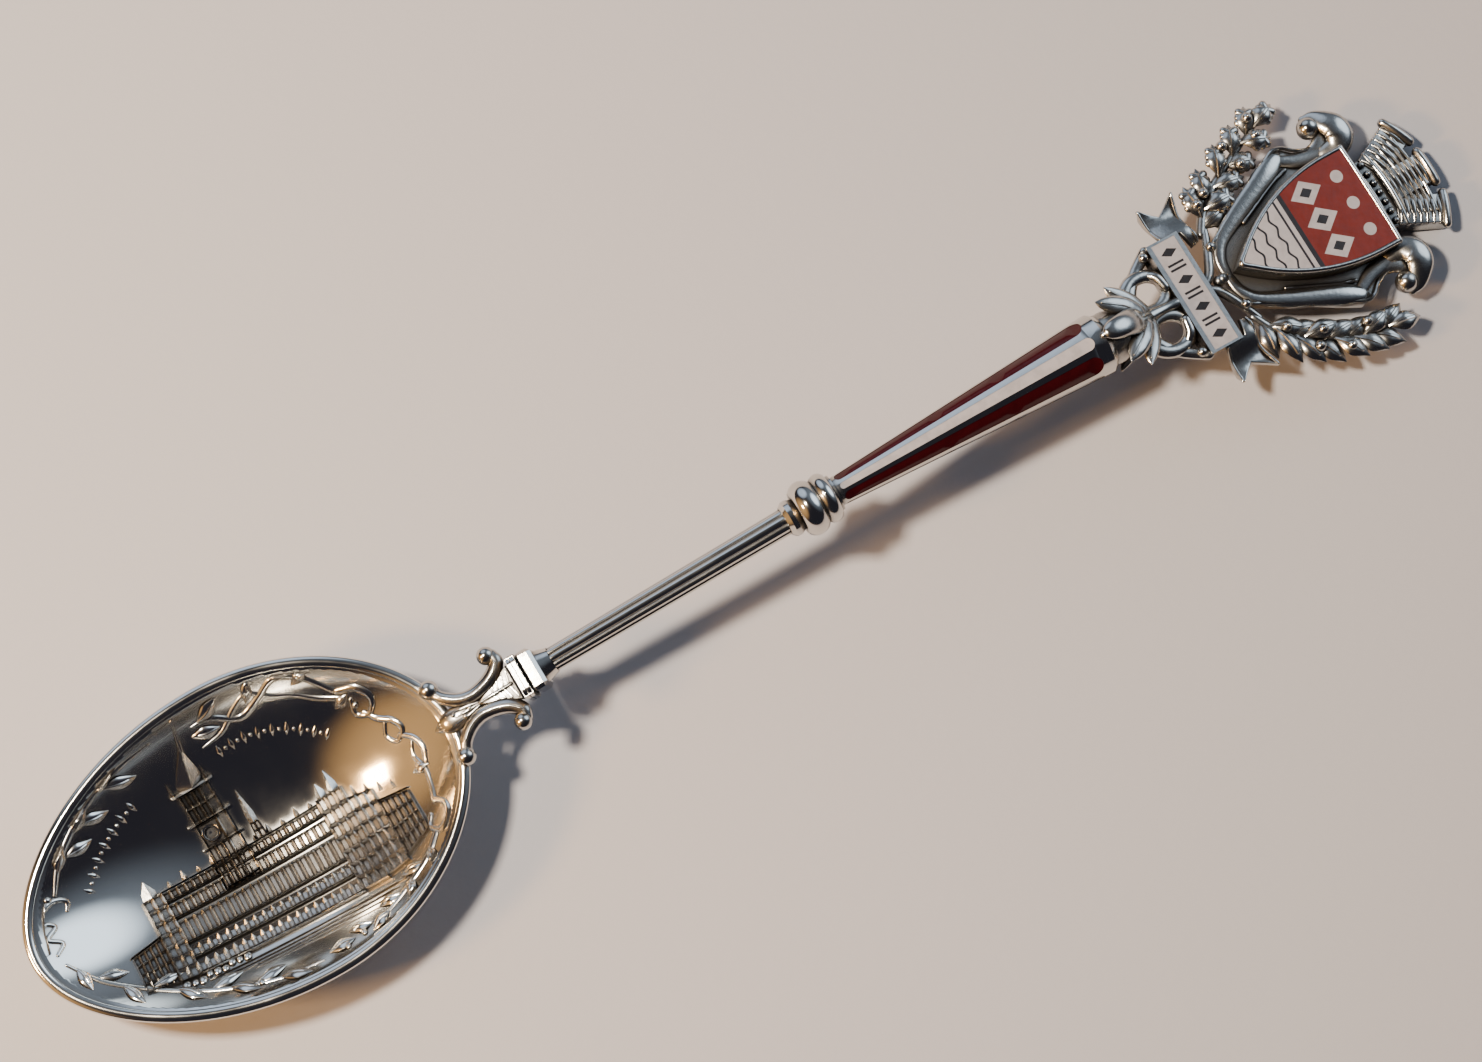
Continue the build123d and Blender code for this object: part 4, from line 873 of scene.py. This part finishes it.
def crown_tower(bm, length, low, high, height):
    """A tower along X from the centre line, low and high its half widths at foot and top."""
    end = length - 0.1
    outline = [(0, low), (0, -low), (end, -high + COURSE_INSET), (end, high - COURSE_INSET)]
    plate(bm, outline, 0.0, height - 0.45, bevel=0.1)
    for i in range(TOWER_COURSES):
        x = 0.25 + (length - 1.2) * i / (TOWER_COURSES - 1)
        half = low + (high - low) * i / TOWER_COURSES - COURSE_INSET
        side = height - 0.6
        course = [(x, half, side, 0.15), (x + 0.05, 0, side + 0.24, 0.17), (x, -half, side, 0.15)]
        strand(bm, course, sides=8, steps=4)
    cap = [(length - 0.42, high * k / 2, height - 0.42 - 0.04 * k * k, 0.4) for k in range(-2, 3)]
    strand(bm, cap, flat=1.1, sides=12, steps=3)


def make_crown():
    bm = bmesh.new()
    plate(bm, [(26.55, 3.1), (26.55, -3.1), (29.1, -3.3), (29.1, 3.3)], 0.0, 1.55, bevel=0.15)
    for u, half, bulge, r in ((27.25, 3.1, 0.12, 0.2), (28.75, 3.35, 0.16, 0.27)):
        arch = [(u + bulge * (1 - k * k / 4), -half * k / 2, 1.85 - 0.09 * k * k, r) for k in range(-2,
                                                                                                    3)]
        strand(bm, arch, sides=10)
    for k in range(-3, 4):
        dome(bm, 28.03 - 0.012 * k * k, k * 0.9, 1.65, 0.3)
    cast_piece("crown_band", bm, FINIAL)
    bm = bmesh.new()
    start = 29.05                         # where the crown's band ends
    crown_tower(bm, 4.2, 1.4, 1.45, 2.25)
    bmesh.ops.translate(bm, vec=(start, 0, 0), verts=bm.verts)
    for way in (1, -1):
        before = set(bm.verts)
        crown_tower(bm, 4.55, 1.35, 1.35, 2.15)
        made = [v for v in bm.verts if v not in before]
        bmesh.ops.rotate(bm, cent=(0, 0, 0), matrix=Matrix.Rotation(way * radians(26), 3, "Z"),
                         verts=made)
        bmesh.ops.translate(bm, vec=(start - 0.5, way * 1.95, 0), verts=made)
    foot_half, wall_height = 2.7, 1.65
    wall = [(start, foot_half), (start + 3.0, 3.75)]
    plate(bm, wall + [(x, -y) for x, y in reversed(wall)], 0.0, wall_height, bevel=0.1)
    for i in range(6):
        x = start + 0.25 + 0.5 * i
        half = foot_half + 0.17 * i
        course = [(x - 0.2, half, wall_height, 0.17), (x + 0.1, 0, wall_height + 0.1, 0.17),
                  (x - 0.2, -half, wall_height, 0.17)]
        strand(bm, course, sides=8)
    cast_piece("crown_towers", bm, FINIAL)


LAUREL = {
    "stem": [(12.9, -3.9, 0.9, 0.42), (14.0, -5.9, 0.9, 0.42), (15.8, -7.5, 0.9, 0.38),
             (18.0, -8.8, 0.9, 0.34), (20.4, -9.6, 0.9, 0.28), (22.6, -10.0, 0.9, 0.16)],
    "pairs": 7, "length": 3.5, "width": 1.65, "spread": 31, "lobes": 0,
    "berries": [(14.6, -6.0), (17.2, -7.6), (18.6, -9.9), (20.9, -8.8), (16.2, -8.7)],
}
OAK = {
    "stem": [(12.9, 4.1, 0.9, 0.42), (14.2, 5.7, 0.9, 0.42), (16.6, 7.4, 0.9, 0.38),
             (19.4, 8.8, 0.9, 0.3), (22.2, 10.0, 0.9, 0.16)],
    "pairs": 5, "length": 3.1, "width": 1.7, "spread": 40, "lobes": 3,
    "berries": [(13.7, 6.3), (14.7, 6.9), (18.9, 7.6), (18.3, 9.6), (21.6, 10.7), (21.4, 9.1)],
}


def leaf_lobes(bm, root, way, length, height, lobes):
    """Pairs of rounded lobes along an oak leaf."""
    across = Vector((-way.y, way.x, 0))
    for k in range(lobes):
        for hand in (1, -1):
            foot = root + way * length * (0.3 + 0.2 * k)
            reach = foot + (across * hand * 0.62 + way * 0.35) * (1 - 0.12 * k)
            lobe = [(foot.x, foot.y, height + 0.2, 0.36), (reach.x, reach.y, height + 0.12, 0.36)]
            strand(bm, lobe, flat=0.7, sides=8, steps=3)


def make_branches():
    for side, spray in (("right", LAUREL), ("left", OAK)):
        bm = bmesh.new()
        strand(bm, spray["stem"], flat=0.9)
        line = line_through(spray["stem"], 12)
        pairs = spray["pairs"]
        for i in range(2 * pairs + 1):
            at = min(int((i / 2 + 0.4) / (pairs + 0.4) * (len(line) - 1)), len(line) - 2)
            root, ahead = line[at].to_3d(), (line[at + 1] - line[at]).to_3d().normalized()
            turn = radians(0 if i == 2 * pairs else spray["spread"] * (1 if i % 2 else -1))
            way = Matrix.Rotation(turn, 3, "Z") @ ahead
            length = spray["length"] * (1 - 0.18 * i / (2 * pairs))
            tip = root + way * length
            height = 0.9 + 0.22 * (i % 3)
            leaf(bm, (root.x, root.y), (tip.x, tip.y), spray["width"], height, thick=0.42, arch=0.2)
            leaf_lobes(bm, root, way, length, height, spray["lobes"])
        cast_piece(f"branch_{side}", bm, FINIAL)
    bm = bmesh.new()
    for spray in (LAUREL, OAK):
        for u, y in spray["berries"]:
            dome(bm, u, y, 1.6, 0.48)
            dome(bm, u, y, 2.06, 0.12)
    cast_piece("berries", bm, FINIAL)


# --- stage ----------------------------------------------------------------------------------------

def area_light(name, place, aim, width, power, tint):
    """A square lamp, in metres and watts."""
    data = bpy.data.lights.new(name, "AREA")
    data.size = width
    data.energy = power
    data.color = tint
    lamp = bpy.data.objects.new(name, data)
    lamp.location = place
    lamp.rotation_euler = (Vector(aim) - Vector(place)).to_track_quat("-Z", "Y").to_euler()
    bpy.context.scene.collection.objects.link(lamp)


FLOOR_HALF = 0.8           # metres
FLOOR_GAP = 0.02 * MM      # keeps the sheet clear of the bowl's underside


def make_stage():
    bm = bmesh.new()
    bmesh.ops.create_grid(bm, x_segments=1, y_segments=1, size=FLOOR_HALF)
    bmesh.ops.translate(bm, vec=(0, 0, -FLOOR_GAP), verts=bm.verts)
    floor = mesh_object("floor_sheet", bm, "laid_paper")
    make_room()
    area_light("ceiling_light", (-0.13, 0.08, 0.33), (-0.01, 0, 0), 0.035, 3.1, (1.0, 0.87, 0.7))
    area_light("table_lamp", (-0.27, 0.045, 0.2), (-0.04, 0, 0), 0.05, 1.3, (1.0, 0.55, 0.2))


def make_room():
    """A dark room with soft glows: each is a way, the cosines where it starts and is full, and a tint."""
    world = bpy.data.worlds.new("soft_room")
    bpy.context.scene.world = world
    world.use_nodes = True
    tree = world.node_tree
    way = add(tree, "ShaderNodeTexCoord").outputs["Generated"]
    glows = [
        ((0.8, 0.35, 0.5), 0.5, 0.98, (0.18, 0.22, 0.27)),        # pale wall over the right
        ((0.84, 0.16, 0.5), 0.89, 0.98, (1.7, 2.05, 2.4)),        # window on the right
        ((0.0, 0.86, 0.5), 0.86, 0.98, (0.7, 0.86, 1.1)),         # window behind
        ((-0.88, 0.1, 0.4), 0.72, 0.99, (0.72, 0.4, 0.14)),       # lamp-lit wall on the left
    ]
    total = None
    for toward, edge, full, tint in glows:
        facing = add(tree, "ShaderNodeVectorMath", operation="DOT_PRODUCT")
        tree.links.new(way, facing.inputs[0])
        facing.inputs[1].default_value = Vector(toward).normalized()
        share = add(tree, "ShaderNodeMapRange", interpolation_type="SMOOTHSTEP",
                    Value=facing.outputs["Value"],
                    From_Min=edge, From_Max=full).outputs["Result"]
        glow = add(tree, "ShaderNodeVectorMath", operation="SCALE")
        glow.inputs[0].default_value = tint
        tree.links.new(share, glow.inputs["Scale"])
        if total is None:
            total = glow.outputs["Vector"]
            continue
        joined = add(tree, "ShaderNodeVectorMath", operation="ADD")
        tree.links.new(total, joined.inputs[0])
        tree.links.new(glow.outputs["Vector"], joined.inputs[1])
        total = joined.outputs["Vector"]
    dark = add(tree, "ShaderNodeVectorMath", operation="ADD")
    dark.inputs[1].default_value = (0.022, 0.022, 0.03)
    tree.links.new(total, dark.inputs[0])
    tree.links.new(dark.outputs["Vector"], tree.nodes["Background"].inputs["Color"])


VIEW_HEADING = 32.02       # degrees from the spoon's width to the way the viewer faces
VIEW_DOWN = 79.69          # degrees down from level
VIEW_ROLL = 1.45
VIEW_TARGET = (-0.02, 1.92, 5.0)
VIEW_DISTANCE = 255.5      # mm
VIEW_ANGLE = 26            # degrees across


def make_camera():
    heading, lean, roll = radians(VIEW_HEADING), radians(VIEW_DOWN), radians(VIEW_ROLL)
    target = Vector(VIEW_TARGET) * MM
    level = Vector((cos(heading), -sin(heading), 0))
    ahead = Vector((sin(heading), cos(heading), 0))
    look = ahead * cos(lean) - UP * sin(lean)
    top = ahead * sin(lean) + UP * cos(lean)
    across = level * cos(roll) + top * sin(roll)
    upward = top * cos(roll) - level * sin(roll)
    data = bpy.data.cameras.new("camera")
    data.sensor_fit = "HORIZONTAL"
    data.angle = radians(VIEW_ANGLE)
    data.clip_start = 0.01
    camera = bpy.data.objects.new("camera", data)
    turn = Matrix((across, upward, -look)).transposed().to_4x4()
    camera.matrix_world = Matrix.Translation(target - look * VIEW_DISTANCE * MM) @ turn
    bpy.context.scene.collection.objects.link(camera)
    bpy.context.scene.camera = camera


# --- operators ------------------------------------------------------------------------------------

class SPOON_OT_bowl(bpy.types.Operator):
    """Make the struck bowl with its town hall and garland"""
    bl_idname = "spoon.bowl"
    bl_label = "Bowl"

    def execute(self, context):
        make_bowl_shell()
        make_town_hall()
        make_garland()
        return {"FINISHED"}


class SPOON_OT_neck(bpy.types.Operator):
    """Make the scroll bars, beads, leaf and wedge between bowl and stem"""
    bl_idname = "spoon.neck"
    bl_label = "Neck"

    def execute(self, context):
        make_scroll_bars()
        make_heel_leaf()
        make_neck_wedge()
        return {"FINISHED"}


class SPOON_OT_stem(bpy.types.Operator):
    """Finish the turned stem and its enamel"""
    bl_idname = "spoon.stem"
    bl_label = "Stem"

    def execute(self, context):
        for name in ("neck_block", "lower_shaft", "knop", "upper_shaft"):
            coat_node(name, "turned_silver")
        coat_node("enamel_shaft_white", "white_enamel")
        coat_node("enamel_shaft_red", "clear_red_enamel")
        return {"FINISHED"}


class SPOON_OT_ribbon(bpy.types.Operator):
    """Make the calyx, the openwork loops and the ribbon"""
    bl_idname = "spoon.ribbon"
    bl_label = "Calyx and ribbon"

    def execute(self, context):
        make_calyx()
        make_stem_loops()
        make_ribbon_tails()
        coat_node("ribbon_plate", "turned_silver")
        coat_node("enamel_ribbon", "white_enamel")
        coat_node("enamel_ribbon_marks", "black_enamel")
        return {"FINISHED"}


class SPOON_OT_shield(bpy.types.Operator):
    """Make the cartouche and the enamelled shield"""
    bl_idname = "spoon.shield"
    bl_label = "Shield"

    def execute(self, context):
        make_cartouche()
        make_shield_setting()
        coat_node("enamel_red_field", "red_enamel")
        coat_node("enamel_white_base", "white_enamel")
        coat_node("enamel_white_charges", "white_enamel")
        coat_node("enamel_black_lines", "black_enamel")
        return {"FINISHED"}


class SPOON_OT_crown(bpy.types.Operator):
    """Make the wall crown"""
    bl_idname = "spoon.crown"
    bl_label = "Crown"

    def execute(self, context):
        make_crown()
        return {"FINISHED"}


class SPOON_OT_branches(bpy.types.Operator):
    """Make the two leafy branches and their berries"""
    bl_idname = "spoon.branches"
    bl_label = "Branches"

    def execute(self, context):
        make_branches()
        return {"FINISHED"}


class SPOON_OT_stage(bpy.types.Operator):
    """Lay the floor, hang the lights and set the camera"""
    bl_idname = "spoon.stage"
    bl_label = "Stage"

    def execute(self, context):
        make_stage()
        make_camera()
        return {"FINISHED"}


STEPS = (SPOON_OT_bowl, SPOON_OT_neck, SPOON_OT_stem, SPOON_OT_ribbon, SPOON_OT_shield, SPOON_OT_crown,
         SPOON_OT_branches, SPOON_OT_stage)


class SPOON_PT_panel(bpy.types.Panel):
    bl_idname = "SPOON_PT_panel"
    bl_label = "Souvenir spoon"
    bl_space_type = "VIEW_3D"
    bl_region_type = "UI"
    bl_category = "Spoon"

    def draw(self, context):
        for group in (context.scene.spoon_sizes, context.scene.spoon_colours):
            for name in group.__annotations__:
                self.layout.prop(group, name)
        for step in STEPS:
            self.layout.operator(step.bl_idname)


CLASSES = (SpoonSizes, SpoonColours, *STEPS, SPOON_PT_panel)


def register():
    for cls in CLASSES:
        bpy.utils.register_class(cls)
    bpy.types.Scene.spoon_sizes = bpy.props.PointerProperty(type=SpoonSizes)
    bpy.types.Scene.spoon_colours = bpy.props.PointerProperty(type=SpoonColours)


def unregister():
    del bpy.types.Scene.spoon_sizes
    del bpy.types.Scene.spoon_colours
    for cls in reversed(CLASSES):
        bpy.utils.unregister_class(cls)


def main():
    register()
    for step in STEPS:
        group, name = step.bl_idname.split(".")
        getattr(getattr(bpy.ops, group), name)()


if __name__ == "__main__":
    main()
